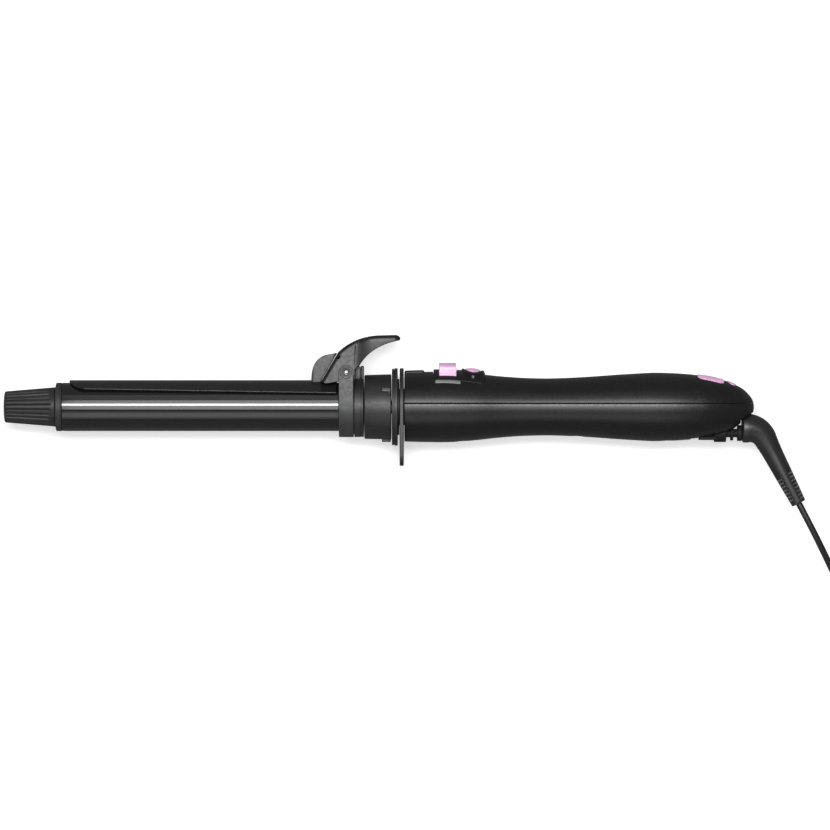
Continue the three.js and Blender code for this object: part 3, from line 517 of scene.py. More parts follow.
# Strain relief, swivel and plug. Across the boot are slots that leave a spine along its middle.
BOOT_PROFILE = [(0, 6.6), (0.25, 7.05), (0.8, 7.4), (3, 7.5), (8.5, 6.9), (14, 6.1), (21.5, 5.3),
                (31, 4.85), (42, 4.3), (51.1, 3.8)]
SLOT_FROM = 35
SLOT_PITCH = 2.0
SLOT_WIDTH = 0.9
SPINE = 0.42
SLOT_FLOOR = 0.3


def along_profile(profile, x):
    """The height at x of straight lines through a profile."""
    for (x0, r0), (x1, r1) in zip(profile, profile[1:]):
        if x <= x1:
            return r0 + (r1 - r0) * max(x - x0, 0) / (x1 - x0)
    return profile[-1][1]


def smooth_profile(points, steps):
    return [(p.x, p.y) for p in catmull([Vector((x, y, 0)) for x, y in points], steps)]


def boot_stations():
    stations = [0, 0.25, 0.5, 0.8, 1.4, 2.2, 3]
    stations += [3 + k * 0.75 for k in range(1, 33)]
    place = SLOT_FROM
    half_pitch = SLOT_PITCH / 2
    while place + SLOT_WIDTH < BOOT_LENGTH - 1.5:
        stations += [place, place + 0.06, place + SLOT_WIDTH - 0.06, place + SLOT_WIDTH]
        place += half_pitch
    stations += [BOOT_LENGTH - 0.9, BOOT_LENGTH - 0.4, BOOT_LENGTH - 0.12, BOOT_LENGTH]
    return sorted(set(round(s, 3) for s in stations))


def in_slot(far, phase):
    if far < SLOT_FROM or far > BOOT_LENGTH - 1.6:
        return False
    into = (far - SLOT_FROM - phase * SLOT_PITCH) % SLOT_PITCH
    return 0.03 < into < SLOT_WIDTH - 0.03


def make_boot():
    profile = smooth_profile(BOOT_PROFILE, 6)
    rings = []
    for far in boot_stations():
        x, y, turn = boot_point(far)
        r = along_profile(profile, far)
        if far > BOOT_LENGTH - 0.5:
            r -= 0.25 * ((far - BOOT_LENGTH + 0.5) / 0.5) ** 2
        ring = []
        for a in circle(56):
            side = math.cos(a) * r
            up = math.sin(a) * r
            if abs(side) > SPINE * r and in_slot(far, 0 if side > 0 else 0.5):
                up = math.copysign(min(abs(up), SLOT_FLOOR * r), up)
            ring.append((x + side * math.sin(turn), y + side * math.cos(turn), up))
        rings.append(ring)
    boot = loft("strain_relief", rings)
    return dress(boot, "cord_boot", boot_rubber, sharp=38)


SWIVEL_Y = -13.5


def make_swivel_neck():
    end = BOOT_START - 0.3
    profile = rounded([(358.5, 0), (358.5, 3.6, 0.2), (360, 3.6, 0.2), (360, 2.2), (374.6, 2.2),
                       (374.6, 3.85, 0.3), (376.1, 3.85, 0.3), (376.1, 2.2), (378.2, 2.2),
                       (378.2, 4.1, 0.3), (end, 4.1, 0.2), (end, 0)])
    dress(turned("swivel_joint", profile, 64, SWIVEL_Y), "swivel_neck", swivel_plastic)


def make_swivel_retainer():
    barrel = turned("swivel_gland", rounded([(366.2, 2.26), (366.2, 4.65, 0.3), (372.4, 4.65, 0.5),
                                             (372.4, 2.26)], True), 64, SWIVEL_Y, around=True)
    strip = block("strip", (358.5, -17.1, -5.2), (367.4, -15.5, 5.2), 0.3)
    cut(strip, turned("bore", [(350, 0), (350, 4.5), (380, 4.5), (380, 0)], 48, SWIVEL_Y))
    dress(join(barrel, strip), "swivel_retainer", swivel_plastic)


PLUG_SECTIONS = [(0, 3.7, 3.8), (0.5, 4.1, 4.15), (9, 5.2, 5), (16, 6.2, 6), (21, 10.4, 7),
                 (25, 12.1, 7.6), (38, 12.1, 7.6), (39.4, 11.9, 7.3), (40, 11.3, 6.8)]
PLUG_LENGTH = 40
GRIP_FROM = 3
GRIP_TO = 15
GRIP_DEPTH = 0.35


def make_plug():
    across = smooth_profile([(far, w) for far, w, _ in PLUG_SECTIONS], 6)
    height = smooth_profile([(far, h) for far, _, h in PLUG_SECTIONS], 6)
    rings = []
    steps = 160
    for k in range(steps + 1):
        far = PLUG_LENGTH * k / steps
        w = along_profile(across, far) * 0.9
        h = along_profile(height, far) * 0.86
        grip = GRIP_DEPTH * (0.5 - 0.5 * math.cos(far * math.pi)) * (GRIP_FROM < far < GRIP_TO)
        ring = []
        for a in circle(64):
            square = 1 / max(abs(math.cos(a)), abs(math.sin(a))) ** 0.45
            ring.append((TAIL_X + (w - grip) * square * math.cos(a), PLUG_Y + far,
                         PLUG_Z + (h - grip) * square * math.sin(a)))
        rings.append(ring)
    return dress(loft("mains_plug", rings), "plug_body", plug_plastic, sharp=45)


def make_blade(node):
    low, high = span(node)
    outline = rounded([(low.y, low.z), (high.y - 1.8, low.z, 0.4), (high.y, low.z + 1.6, 0.4),
                       (high.y, high.z - 1.6, 0.4), (high.y - 1.8, high.z, 0.4), (low.y, high.z)])
    rings = [[(x, y, z) for y, z in outline] for x in (low.x, high.x)]
    blade = loft(node + "_shaped", rings)
    soften(blade, 0.15, 2)
    hole = disc(high.y - 5, PLUG_Z, 1.6, 32)
    cut(blade, loft("hole", [[(x, y, z) for y, z in hole] for x in (low.x - 1, high.x + 1)]))
    return dress(blade, node, nickel)


def make_tie():
    half = COIL_OUTER_R - COIL_MIDDLE_R + CORD_THICKNESS / 2 + 0.4
    near = COIL_MIDDLE_R - half - 0.6
    far = COIL_MIDDLE_R + half + 0.6
    top = 2 * COIL_LAYER - REST + TIE_LIFT + EXIT_GAP
    thick = 0.9
    x, y = COIL_CENTRE.x, COIL_CENTRE.y
    outer = rounded([(y - far - thick, -REST, 1.2), (y - near + thick, -REST, 1.2),
                     (y - near + thick, top + thick, 1.8), (y - far - thick, top + thick, 1.8)], True)
    inner = rounded([(y - far, -REST + thick, 0.7), (y - near, -REST + thick, 0.7),
                     (y - near, top, 1.2), (y - far, top, 1.2)], True)
    rings = []
    for line, at in ((outer, -TIE_HALF), (outer, TIE_HALF), (inner, TIE_HALF), (inner, -TIE_HALF)):
        rings.append([(x + at, py, pz) for py, pz in line])
    strap = loft("cord_strap", rings, around=True)
    soften(strap, 0.2, 2)
    return dress(strap, "cord_tie", tie_plastic)


BOOT = make_boot()
make_swivel_neck()
make_swivel_retainer()
PLUG = make_plug()
BLADES = [make_blade("plug_blade_left"), make_blade("plug_blade_right")]
TIE = make_tie()


# Cool tip and barrel
TIP_LENGTH = 26.3
TIP_FACE_R = 5.6
TIP_FRONT_R = 8.05
TIP_REAR_R = 10.2
FLUTES = 22
FLUTE_DEPTH = 0.62
FLUTES_TO = 22.4
BARREL_R = 12.5
BARREL_WALL = 0.9
BARREL_START = 30
BARREL_END = 185


def flute(angle, x):
    """How far a flute cuts in: narrow grooves with broad rounded lands between them."""
    wave = 0.5 + 0.5 * math.cos(angle * FLUTES)
    run_out = 1.6
    along = 1 if x < FLUTES_TO else math.sqrt(max(1 - ((x - FLUTES_TO) / run_out) ** 2, 0))
    return FLUTE_DEPTH * along * wave ** 5


def make_cool_tip():
    stations = [0, 0.08, 0.22, 0.45, 0.8]
    stations += [2 + 2.04 * k for k in range(11)]
    stations += [22.9, 23.2, 23.5, 23.75, 23.9, 23.98, 24.05, 24.6, 25.6, 26.05, 26.22, TIP_LENGTH]
    sides = 220
    rings = [[(0, 0, 0)], [(0, y, z) for y, z in disc(0, 0, TIP_FACE_R, sides)]]
    edge = 0.8
    rear_edge = 0.3
    for x in stations:
        base = TIP_FRONT_R + (TIP_REAR_R - TIP_FRONT_R) * x / TIP_LENGTH
        if x < edge:
            base -= edge * (1 - math.sqrt(1 - ((edge - x) / edge) ** 2))
        base -= rear_edge * max((x - TIP_LENGTH) / rear_edge + 1, 0) ** 2
        ring = []
        for a in circle(sides):
            r = base - flute(a, x)
            ring.append((x, r * math.cos(a), r * math.sin(a)))
        rings.append(ring)
    rings.append([(TIP_LENGTH, 0, 0)])
    dress(loft("cool_tip_fluted", rings), "cool_tip", tip_plastic, sharp=50)


def make_tip_collar():
    inside = BARREL_R - BARREL_WALL - 0.3
    low = BARREL_R - 0.14
    r = BARREL_R
    profile = rounded([(26.6, 0), (26.6, 12.4, 0.4), (27.2, r), (28.9, r), (29.0, low), (29.25, low),
                       (29.35, r), (29.7, r, 0.15), (29.7, inside), (35, inside, 0.3), (35, 0)])
    dress(turned("tip_ring", profile, 128), "tip_collar", collar_ring)


def make_barrel():
    inner = BARREL_R - BARREL_WALL
    profile = rounded([(BARREL_START, inner, 0.2), (BARREL_START, BARREL_R, 0.35),
                       (BARREL_END, BARREL_R, 0.2), (BARREL_END, inner)], True)
    dress(turned("barrel", profile, 160, around=True), "barrel_tube", barrel_coating)


make_cool_tip()
make_tip_collar()
make_barrel()

# Clamp
CLAMP_START = 33.4
CLAMP_END = 171.5
CLAMP_R = 13.85
CLAMP_WALL = 1.1
LIP_FRONT_Y = 9.0
LIP_REAR_Y = 7.0
NOSE_BACK = 9.5
LIP_FLARE = 0.6
EDGE_ROUND = 0.55


def clamp_ring(t):
    """One closed section of the spoon. t runs from 0 at its front edge to 1 at its rear."""
    spread = [math.sin(k / 36 * math.pi / 2) for k in range(-36, 37)]
    outer, inner = [], []
    for u in spread:
        nose = CLAMP_START + NOSE_BACK * (1 - math.sqrt(1 - min(abs(u), 0.999) ** 2.6))
        x = nose + (CLAMP_END - nose) * t
        lip_y = LIP_FRONT_Y + (LIP_REAR_Y - LIP_FRONT_Y) * (x - 42) / (168 - 42)
        half_angle = math.acos(lip_y / CLAMP_R)
        angle = u * half_angle
        to_lip = (1 - abs(u)) * half_angle * CLAMP_R
        flare = LIP_FLARE * max(1 - to_lip / 3.4, 0) ** 2
        from_edge = (x - nose, CLAMP_END - x, to_lip)
        round_off = 1.0
        for d in from_edge:
            if d < EDGE_ROUND:
                round_off *= max(math.sqrt(max(1 - (1 - d / EDGE_ROUND) ** 2, 0)), 0.06)
        middle = CLAMP_R - CLAMP_WALL / 2 + flare
        for side, line in ((1, outer), (-1, inner)):
            r = middle + side * CLAMP_WALL / 2 * round_off
            line.append((x, r * math.cos(angle), r * math.sin(angle)))
    return [*outer, *inner[::-1]]


def make_clamp():
    stations = [0, 0.0006, 0.0015, 0.0026, 0.0042, 0.0065, 0.01, 0.016, 0.025]
    stations += [0.04 + k * 0.04 for k in range(24)]
    stations += [0.985, 0.993, 0.9965, 0.9985, 1]
    spoon = loft("clamp", [clamp_ring(t) for t in stations])
    dress(spoon, "clamp_spoon", clamp_coating, sharp=45)


def rounded_box(x0, x1, half, r, steps=8):
    """A rectangle in plan with round corners, as (x, z)."""
    quarter = math.pi / 2
    return [*arc(x1 - r, -half + r, r, -quarter, 0, steps), *arc(x1 - r, half - r, r, 0, quarter, steps),
            *arc(x0 + r, half - r, r, quarter, 2 * quarter, steps),
            *arc(x0 + r, -half + r, r, 2 * quarter, 3 * quarter, steps)]


def rod(x0, x1, r, sides=96, y=0.0):
    return turned("rod", [(x0, 0), (x0, r), (x1, r), (x1, 0)], sides, y)


BOSS_START = 158.4
BOSS_HALF = 5
PIVOT_X = 176.4
PIVOT_Y = 17.65
PIN_BORE_R = 1.56
LEVER_HALF = 13.9
LEVER_TOP_Y = 37.1
GAP = 0.3


def make_clamp_boss():
    half = BOSS_HALF
    start = BOSS_START
    front = bezier((start, 14.2), (start + 0.1, 20.5), (start + 1.8, 25.3), (166, 26.9), 18)
    side = [(start, 9.85), *front, (171.6, 27.9), (163, 13.1), (163, 9.85)]
    hump = prism("lever_front", side, -half, half, "z")
    common(hump, prism("plan", rounded_box(start - 1, 172, half, 2.5), 0, 40, "y"))
    soften(hump, 0.7, 4)
    cut(hump, rod(150, 180, CLAMP_R + 0.05))
    dress(hump, "clamp_boss", lever_plastic)


def lever_top(inset, steps=20):
    """The lever's top line, from its front foot up and back to the thumb pad's end."""
    foot = [(163.4 + inset, 12.9), (172.4 + inset * 0.9, 28.2 - inset * 0.5)]
    top = LEVER_TOP_Y - inset
    sweep = bezier(foot[1], (177.6, top - 3.9), (184.6, top - 0.7), (193, top - 0.25), steps)
    return [foot[0], *sweep, (204.3, top)]


def lever_side():
    under = bezier((203.9, 34.5), (196, 33.2), (187.5, 29.4), (PIVOT_X + 6.6, 21.4), 20)
    return [*lever_top(0), *under, *arc(PIVOT_X, PIVOT_Y, 4.4, 0.35, -math.pi * 0.62, 20), (166.2, 12.1)]


def lever_plan():
    w = LEVER_HALF
    tip = 10.2
    narrowing = bezier((179, -w), (185.5, -w), (183.5, -tip), (193, -tip), 28)
    half = [(160, -w), *narrowing, *arc(200.8, -tip + 3.5, 3.5, -math.pi / 2, 0, 10)]
    return [*half, *[(x, -z) for x, z in half[::-1]]]


# The hollow under the lever. Its narrow rear end passes over the spring seat.
HOLLOW_HALF = LEVER_HALF - 1.5
HOLLOW_TAIL = 8.6
# From this height over the axis, the lever's faces that turn up or back get painted shade.
PAINTED_SHADE_FROM_Y = 12.5


def make_thumb_lever():
    lever = prism("thumb_lever_pad", lever_side(), -LEVER_HALF, LEVER_HALF, "z")
    common(lever, prism("plan", lever_plan(), 0, 60, "y"))

    def on_top(edge):
        ups = [f.normal.y for f in edge.link_faces]
        return max(ups) > 0.2 and abs(min(ups)) < 0.2 and max(v.co.x for v in edge.verts) > 164

    soften(lever, 2.3, 6, on_top, 30, clamp=False)

    def below(edge):
        ups = [f.normal.y for f in edge.link_faces]
        return min(ups) < -0.2 and max(v.co.y for v in edge.verts) > 22.5

    soften(lever, 0.5, 3, below, 30)
    hollow = prism("hollow", [*lever_top(1.7), (204.3, 10), (163.4, 10)], -20, 20, "z")
    plan = prism("plan", rounded_box(150, 183.5, HOLLOW_HALF, 4), 0, 60, "y")
    common(hollow, join(plan, prism("tail", rounded_box(150, 189, HOLLOW_TAIL, 4), 0, 60, "y")))
    cut(lever, hollow, rod(150, 172, CLAMP_R + GAP), pin_bore())
    dress(lever, "thumb_lever", lever_plastic)
    # Painted shade: the lever's faces high up that turn up or back take the darker second material, because
    # light falls away from them.
    lever.data.materials.append(painted_shade_dark)
    for face in lever.data.polygons:
        n = face.normal
        if abs(n.z) < 0.97 and (n.y > 0.12 or n.x < -0.5) and face.center.y > AXIS_Y + PAINTED_SHADE_FROM_Y * MM:
            face.material_index = 1


make_clamp()
make_clamp_boss()
make_thumb_lever()

# Hinge
YOKE_START = 172.6
YOKE_WIDTH = 7.6
YOKE_R = 15.6
YOKE_WALL = 1.3
COLLAR_END = 185.4


def make_hinge_yoke():
    r, inner = YOKE_R, YOKE_R - YOKE_WALL
    outside = [(-r, 26), *[(z, y) for z, y in arc(0, 0, r, math.pi, 2 * math.pi, 56)], (r, 26)]
    inside = [(inner, 26), *arc(0, 0, inner, 2 * math.pi, math.pi, 56), (-inner, 26)]
    yoke = prism("strap", [*outside, *inside], YOKE_START - 1, YOKE_START + YOKE_WIDTH + 1, "x")
    half = YOKE_WIDTH / 2
    side = [(PIVOT_X - half, -20), (PIVOT_X + half, -20), *arc(PIVOT_X, PIVOT_Y, half, 0, math.pi, 24)]
    common(yoke, prism("side", side, -20, 20, "z"))
    soften(yoke, 0.3, 3)
    cut(yoke, pin_bore())
    dress(yoke, "hinge_yoke", yoke_paint)


def cross_turned(name, profile, x, y, sides=64, around=False):
    """A body of revolution about a line along z. The profile is a list of (z, radius)."""
    rings = []
    for z, r in profile:
        rings.append([(u, v, z) for u, v in disc(x, y, r, sides)] if r else [(x, y, z)])
    return loft(name, rings, around)


def make_hinge_pin():
    head = YOKE_R + 0.05
    dome = [(head + 0.5 * math.sin(a), 0.95 * math.cos(a)) for a in (k * math.pi / 12 for k in range(6))]
    half = [(head - 0.5, 1.5), (head - 0.5, 0.95), *dome, (head + 0.5, 0)]
    profile = [*[(-z, r) for z, r in half[::-1]], *half]
    dress(cross_turned("pivot_pin", profile, PIVOT_X, PIVOT_Y), "hinge_pin", steel)
    for side, word in ((1, "near"), (-1, "far")):
        z = side * (YOKE_R - 0.05)
        z_out = side * (YOKE_R + 0.55)
        z_mid = side * (YOKE_R + 0.3)
        profile = [(z, 3.1), (z_mid, 3.1), (z_out, 2.85), (z_out, 2.35), (side * YOKE_R, 1.15), (z, 1.02)]
        washer = cross_turned("pivot_washer_" + word, profile, PIVOT_X, PIVOT_Y, around=True)
        dress(washer, "hinge_yoke", yoke_paint, extra=True)


def make_hinge_collar():
    bore = BARREL_R + GAP
    front = YOKE_R - YOKE_WALL - GAP
    step = YOKE_START + YOKE_WIDTH + GAP
    r = YOKE_R
    profile = rounded([(YOKE_START, bore), (YOKE_START, front, 0.3), (step, front), (step, r, 0.4),
                       (183.9, r), (184.0, r - 0.25), (184.3, r - 0.25), (184.4, r),
                       (COLLAR_END, r, 0.5), (COLLAR_END, bore)], True)
    body = turned("hinge_ring", profile, 128, around=True)
    dress(body, "hinge_collar", collar_plastic)
    seat = block("spring_seat", (180.7, 13.4, -5.5), (183.8, 20.9, 5.5), 0.5)
    cut(seat, rod(170, 190, BARREL_R + 0.8))
    rim = block("seat_rim", (183.95, 13.4, -5.9), (COLLAR_END, 21.2, 5.9), 0.45)
    cut(rim, rod(170, 190, BARREL_R + 0.8))
    cut(seat, block("groove", (177, 19.5, -4.2), (184.5, 23, -2)))
    dress(seat, "hinge_collar", lever_plastic, extra=True)
    # The rim is a real web, but its darker material is painted shade.
    dress(rim, "hinge_collar", painted_shade_dark, extra=True)


SPRING_TURNS = 4 + 260 / 360
SPRING_R = 2.7
SPRING_PITCH = 1.25
SPRING_WIRE_R = 0.45
SEAT_LEG = 6.8
LEVER_LEG = 14.6


def spring_point(t):
    leg_share = 0.08
    in_coil = min(max((t - leg_share) / (1 - 2 * leg_share), 0), 1)
    angle = math.pi / 2 + in_coil * SPRING_TURNS * 2 * math.pi
    seat = max(leg_share - t, 0) / leg_share * SEAT_LEG
    lever = max(t - 1 + leg_share, 0) / leg_share * LEVER_LEG
    along = lever - seat
    return Vector((PIVOT_X + SPRING_R * math.cos(angle) - along * math.sin(angle),
                   PIVOT_Y + SPRING_R * math.sin(angle) + along * math.cos(angle),
                   (in_coil - 0.5) * SPRING_TURNS * SPRING_PITCH))


def make_spring():
    steps = 380
    route = [spring_point(k / steps) for k in range(steps + 1)]
    spring = tube_along("closing_spring", route, disc(0, 0, SPRING_WIRE_R, 12))
    spring.data.transform(TO_WORLD)
    spring.data.shade_smooth()
    spring.data.materials.append(steel)
    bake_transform(spring)
    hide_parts("torsion_spring")


make_hinge_yoke()
make_hinge_pin()
make_hinge_collar()
make_spring()

# Collars, flange and stand plate
REST_R = 20
REAR_COLLAR = (185.7, 199.6)
NUB_ANGLES = (30, 150, 270)


def make_rear_collar():
    bore = BARREL_R + GAP
    start, end = REAR_COLLAR
    profile = rounded([(start, bore), (start, 16.35, 0.4), (start + 0.5, 16.5), (end, 16.9, 0.5),
                       (end, bore)], True)
    body = turned("collar", profile, 144, around=True)
    dress(body, "rear_collar", collar_plastic)
    for angle in NUB_ANGLES:
        slope = [(-0.95, 15.9), (0.95, 15.9), (0.95, 17.55), (-0.95, 18.2)]
        upright = prism("collar_nub", slope, end - 4.9, end - 0.3, "x", 0.2)
        toe = block("toe", (end - 1.85, 15.8, -0.6), (end - 0.35, 17.6, 3.0), 0.3)
        nub = join(upright, toe)
        nub.name = "collar_nub_%d" % angle
        nub.data.transform(Matrix.Rotation(math.radians(90 - angle), 4, "X"))
        dress(nub, "rear_collar", collar_plastic, extra=True)


def make_head_flange():
    start, end = 199.9, 202.9
    r = REST_R
    low = r - 0.25
    profile = rounded([(start, 7.5), (start, low, 0.35), (start + 1.0, low, 0.1), (start + 1.0, r - 0.6),
                       (start + 1.3, r - 0.6), (start + 1.3, r, 0.2), (end, r, 0.35), (end, 14.5, 0.2),
                       (203.7, 14.5), (203.7, 9.5), (217, 9.5, 0.4), (217, 7.5)], True)
    flange = turned("flange", profile, 160, around=True)
    for side in (1, -1):
        low, high = sorted((8.9 * side, 11 * side))
        lug = block("lug", (212, -1.7, low), (215, 1.7, high), 0.3)
        join(flange, lug)
    dress(flange, "head_flange", collar_plastic)


def make_stand_plate():
    r = REST_R
    depth = 30.3
    corner = 5
    quarter = math.pi / 2
    outline = [*arc(0, 0, r, 0, math.pi, 72),
               *arc(-r + corner, -depth + corner, corner, 2 * quarter, 3 * quarter, 12),
               *arc(r - corner, -depth + corner, corner, -quarter, 0, 12)]
    plate = prism("stand", outline, 203.9, 206.0, "x")
    soften(plate, 0.4, 3)
    cut(plate, rod(200, 210, 9.6))
    dress(plate, "stand_plate", collar_plastic)


make_rear_collar()
make_head_flange()
make_stand_plate()

# Handle form
HANDLE_START = 206.3
HANDLE_LENGTH = 180.6
HANDLE_WALL = 2.6
CAVITY_END = HANDLE_START + 171
SEAM_Y = 1.8
SEAM_ROUND = 0.5
SEAM_FIT = 0.02
HANDLE_PROFILE = [(0, 17.5), (1, 17.9), (12, 18.2), (24, 18.2), (36, 17.3), (49, 15.9), (62, 15), (74, 14.75),
                  (86, 15.1), (98, 15.8), (112, 16.8), (124, 17.5), (130, 17.7), (140, 17.4), (149, 16.7),
                  (157, 15.7), (165, 13.8), (171.5, 11.2), (175.6, 8.7), (178.9, 5.2), (180.2, 2.6),
                  (HANDLE_LENGTH, 0)]
FRONT_WIDENING = 1.09
BULGE_WIDENING = REST_R / 17.7
BULGE_AT = HANDLE_START + 130
FINE_PROFILE = smooth_profile(HANDLE_PROFILE, 16)


def handle_radius(x):
    return along_profile(FINE_PROFILE, x - HANDLE_START)


def widening(x):
    share = min(max((x - HANDLE_START) / (BULGE_AT - HANDLE_START), 0), 1)
    return FRONT_WIDENING + (BULGE_WIDENING - FRONT_WIDENING) * share


def surface(x, z, offset=0.0):
    """The height of the handle's top over a point in plan."""
    r = handle_radius(x) + offset
    return r * math.sqrt(max(1 - (z / (r * widening(x))) ** 2, 0))


def handle_stations(r_min):
    stations = [HANDLE_START + 0.02, HANDLE_START + 0.2, HANDLE_START + 0.5, HANDLE_START + 1]
    stations += [HANDLE_START + 2 + k * 1.5 for k in range(104)]
    x = HANDLE_START + 158.5
    while x < HANDLE_START + HANDLE_LENGTH:
        stations.append(x)
        x += 0.45 if x < HANDLE_START + 175 else 0.13
    return [x for x in stations if handle_radius(x) > r_min]


def half_ring(x, side, seam_y):
    """The section of one solid half of the handle, with its seam edges rounded."""
    r = handle_radius(x)
    w = widening(x)
    at = max(seam_y * side, -0.999 * r)
    corner_z = r * w * math.sqrt(1 - (at / r) ** 2)
    e = min(SEAM_ROUND, (r - at) / 3, corner_z / 3)
    low = math.asin((at + e) / r)
    points = [(w * z, y) for z, y in arc(0, 0, r, low, math.pi - low, 88)]
    fillet = rounded([(points[-1][0], at + e), (-corner_z, at, e), (-corner_z + 2 * e, at)], steps=4)[1:]
    flat = fillet[-1][0]
    across = [(flat - 2 * flat * k / 8, at) for k in range(1, 8)]
    back = [(-z, y) for z, y in fillet[::-1]]
    return [(x, y * side, z) for z, y in [*points, *fillet, *across, *back]]


def handle_half(name, side, seam_y):
    rings = [half_ring(x, side, seam_y) for x in handle_stations(max(seam_y * side, 0) + 0.1)]
    if side < 0:
        rings.append([(HANDLE_START + HANDLE_LENGTH, 0, 0)])
    return loft(name, rings)


def form(offset, x0, x1, sides=64, step=3.0):
    """A solid with the handle's form, larger by offset, between two places."""
    count = max(round((x1 - x0) / step), 2)
    rings = []
    for k in range(count + 1):
        x = x0 + (x1 - x0) * k / count
        r = max(handle_radius(x) + offset, 0.3)
        rings.append([(x, r * math.cos(a), r * widening(x) * math.sin(a)) for a in circle(sides)])
    return loft("form", rings)


def oval(x, half_length, half_width, sides=64):
    return [(x + half_length * math.cos(a), half_width * math.sin(a)) for a in circle(sides)]


def scaled(outline, centre, tx, tz):
    return [(centre[0] + (x - centre[0]) * tx, centre[1] + (z - centre[1]) * tz) for x, z in outline]


def towards(outline, centre, inset):
    """An outline in plan, moved in by about the same distance all round."""
    half_x = max(x for x, _ in outline) - centre[0]
    half_z = max(z for _, z in outline) - centre[1]
    return scaled(outline, centre, max(1 - inset / half_x, 0), max(1 - inset / half_z, 0))


def lay_on(outline, offset, more=0.0):
    """An outline on the handle's form, raised by offset, which may depend on z."""
    return [(x, surface(x, z, (offset(z) if callable(offset) else offset) + more), z) for x, z in outline]


def divided(outline, step=1.0):
    """The same closed outline with no side longer than step."""
    points = []
    for (x0, z0), (x1, z1) in zip(outline, [*outline[1:], outline[0]]):
        count = max(1, math.ceil(math.hypot(x1 - x0, z1 - z0) / step))
        points += [(x0 + (x1 - x0) * k / count, z0 + (z1 - z0) * k / count) for k in range(count)]
    return points


def draped(name, outline, low, high, edge=0.3, crown=0.0, rows=8):
    """A pad that follows the handle's form, from offset low to offset high, with a rounded rim."""
    outline = divided(outline)
    xs = [x for x, _ in outline]
    zs = [z for _, z in outline]
    centre = ((max(xs) + min(xs)) / 2, (max(zs) + min(zs)) / 2)
    rings = [lay_on(scaled(outline, centre, t, t), low) for t in (0.0001, 0.25, 0.5, 0.75, 0.9, 1)]
    for k in range(6):
        a = math.pi / 2 * k / 5
        rim = towards(outline, centre, edge * (1 - math.cos(a)))
        rings.append(lay_on(rim, high, edge * (math.sin(a) - 1)))
    top = towards(outline, centre, edge)
    for k in range(1, rows + 1):
        t = max(1 - k / rows, 0.0001)
        rings.append(lay_on(scaled(top, centre, t, t), high, crown * (1 - t * t)))
    return loft(name, rings)


def draped_ring(name, outer, inner, low, high, edge=0.3):
    """A band between two outlines with equal numbers of points, following the handle's form."""
    def mixed(t):
        return [(x0 + (x1 - x0) * t, z0 + (z1 - z0) * t) for (x0, z0), (x1, z1) in zip(outer, inner)]

    rows = [(0, low), (0, high - edge), (0.08, high - edge * 0.35), (0.2, high), (0.45, high + 0.05),
            (0.7, high), (0.86, high - edge * 0.35), (1, high - edge * 1.2), (1, low)]
    return loft(name, [lay_on(mixed(t), offset) for t, offset in rows], around=True)


# Handle shells and controls. A plan is (start, end, half width, corner radius), an oval button is
# (middle, half length, half width) and a screw is (middle, the height of its hole's floor).
PANEL = (221.4, 247.9, 13, 2.5)
PAD_RISE = 1.2
SLIDER_START = 224.2
SLIDER_END = 233.1
SLIDER_HALF = 11
STEM = (225.8, 231.2, 4, 1)
TEMPERATURE = (357.5, 371.2, 8.6, 3)
POWER = (241.75, 3.95, 6.85)
POWER_RING = (5.9, 11)
MODE = (375.3, 2.4, 5)
SCREWS = ((236, -11.5), (296, -9.5), (342, -11.5))
SWIVEL_R = 10.9


def grown(plan, grow, more=0.0):
    x0, x1, half, r = plan
    return rounded_box(x0 - grow, x1 + grow + more, half + grow, max(r + grow, 0.4))


def swollen(button, grow):
    x, half_length, half_width = button
    return oval(x, half_length + grow, half_width + grow)


def trim_box(side, grow):
    near, far = side * (13.55 - grow), side * (14.7 + grow)
    start, end = 222.2 - grow, 235.2 + grow
    return rounded([(start, near, 0.4), (end, near, 0.4), (end, far, 0.4), (start, far, 0.4)], True, 3)


def through(outline):
    return prism("through", outline, 4, 40, "y")


def make_upper_shell():
    shell = handle_half("handle_upper", 1, SEAM_Y + SEAM_FIT)
    mark_plan = rounded_box(HANDLE_START + 0.05, HANDLE_START + 10.3, 3.4, 1.0)
    join(shell, draped("mark", mark_plan, -1.5, 0.9, 0.85))
    cavity = form(-HANDLE_WALL, HANDLE_START + HANDLE_WALL, CAVITY_END)
    cut(shell, cavity, rod(200, 215, 12.5))
    cut(shell, draped("pocket", grown(PANEL, 0.15), -0.8, 6, 0.1))
    for side in (1, -1):
        cut(shell, draped("trim_pocket", trim_box(side, 0.15), -1.3, 6, 0.1))
    cut(shell, through(grown(STEM, 0.5, 2)), through(oval(POWER[0], 4.3, 7.3)),
        through(grown(TEMPERATURE, 0.25)), through(swollen(MODE, 0.25)))
    dress(shell, "handle_upper_shell", handle_plastic)


def make_lower_shell():
    shell = handle_half("handle_lower", -1, SEAM_Y - SEAM_FIT)
    cavity = form(-HANDLE_WALL, HANDLE_START + HANDLE_WALL, CAVITY_END)
    notch = [(366.8, -16.6), (375.1, -12), (378.3, -9.4), (379.6, -8.4), (379.6, -22), (366.8, -22)]
    cut(shell, cavity, rod(200, 215, 12.5), prism("notch", notch, -25, 25, "z"),
        rod(379.5, 400, SWIVEL_R, 96, SWIVEL_Y), rod(354, 400, 5, 64, SWIVEL_Y),
        block("retainer", (358.2, -30, -5.5), (367.2, -15.2, 5.5)))
    for x, floor in SCREWS:
        join(shell, prism("boss", disc(x, 0, 4), -handle_radius(x) + 1, -3, "y"))
        cut(shell, prism("sink", disc(x, 0, 2.9), -30, floor, "y"))
    dress(shell, "handle_lower_shell", handle_plastic)


def pad_height(z):
    """The pad's rise above the handle. It thins out towards its sides."""
    return 0.1 + (PAD_RISE - 0.1) * (1 - min(abs(z) / PANEL[2], 1) ** 3)


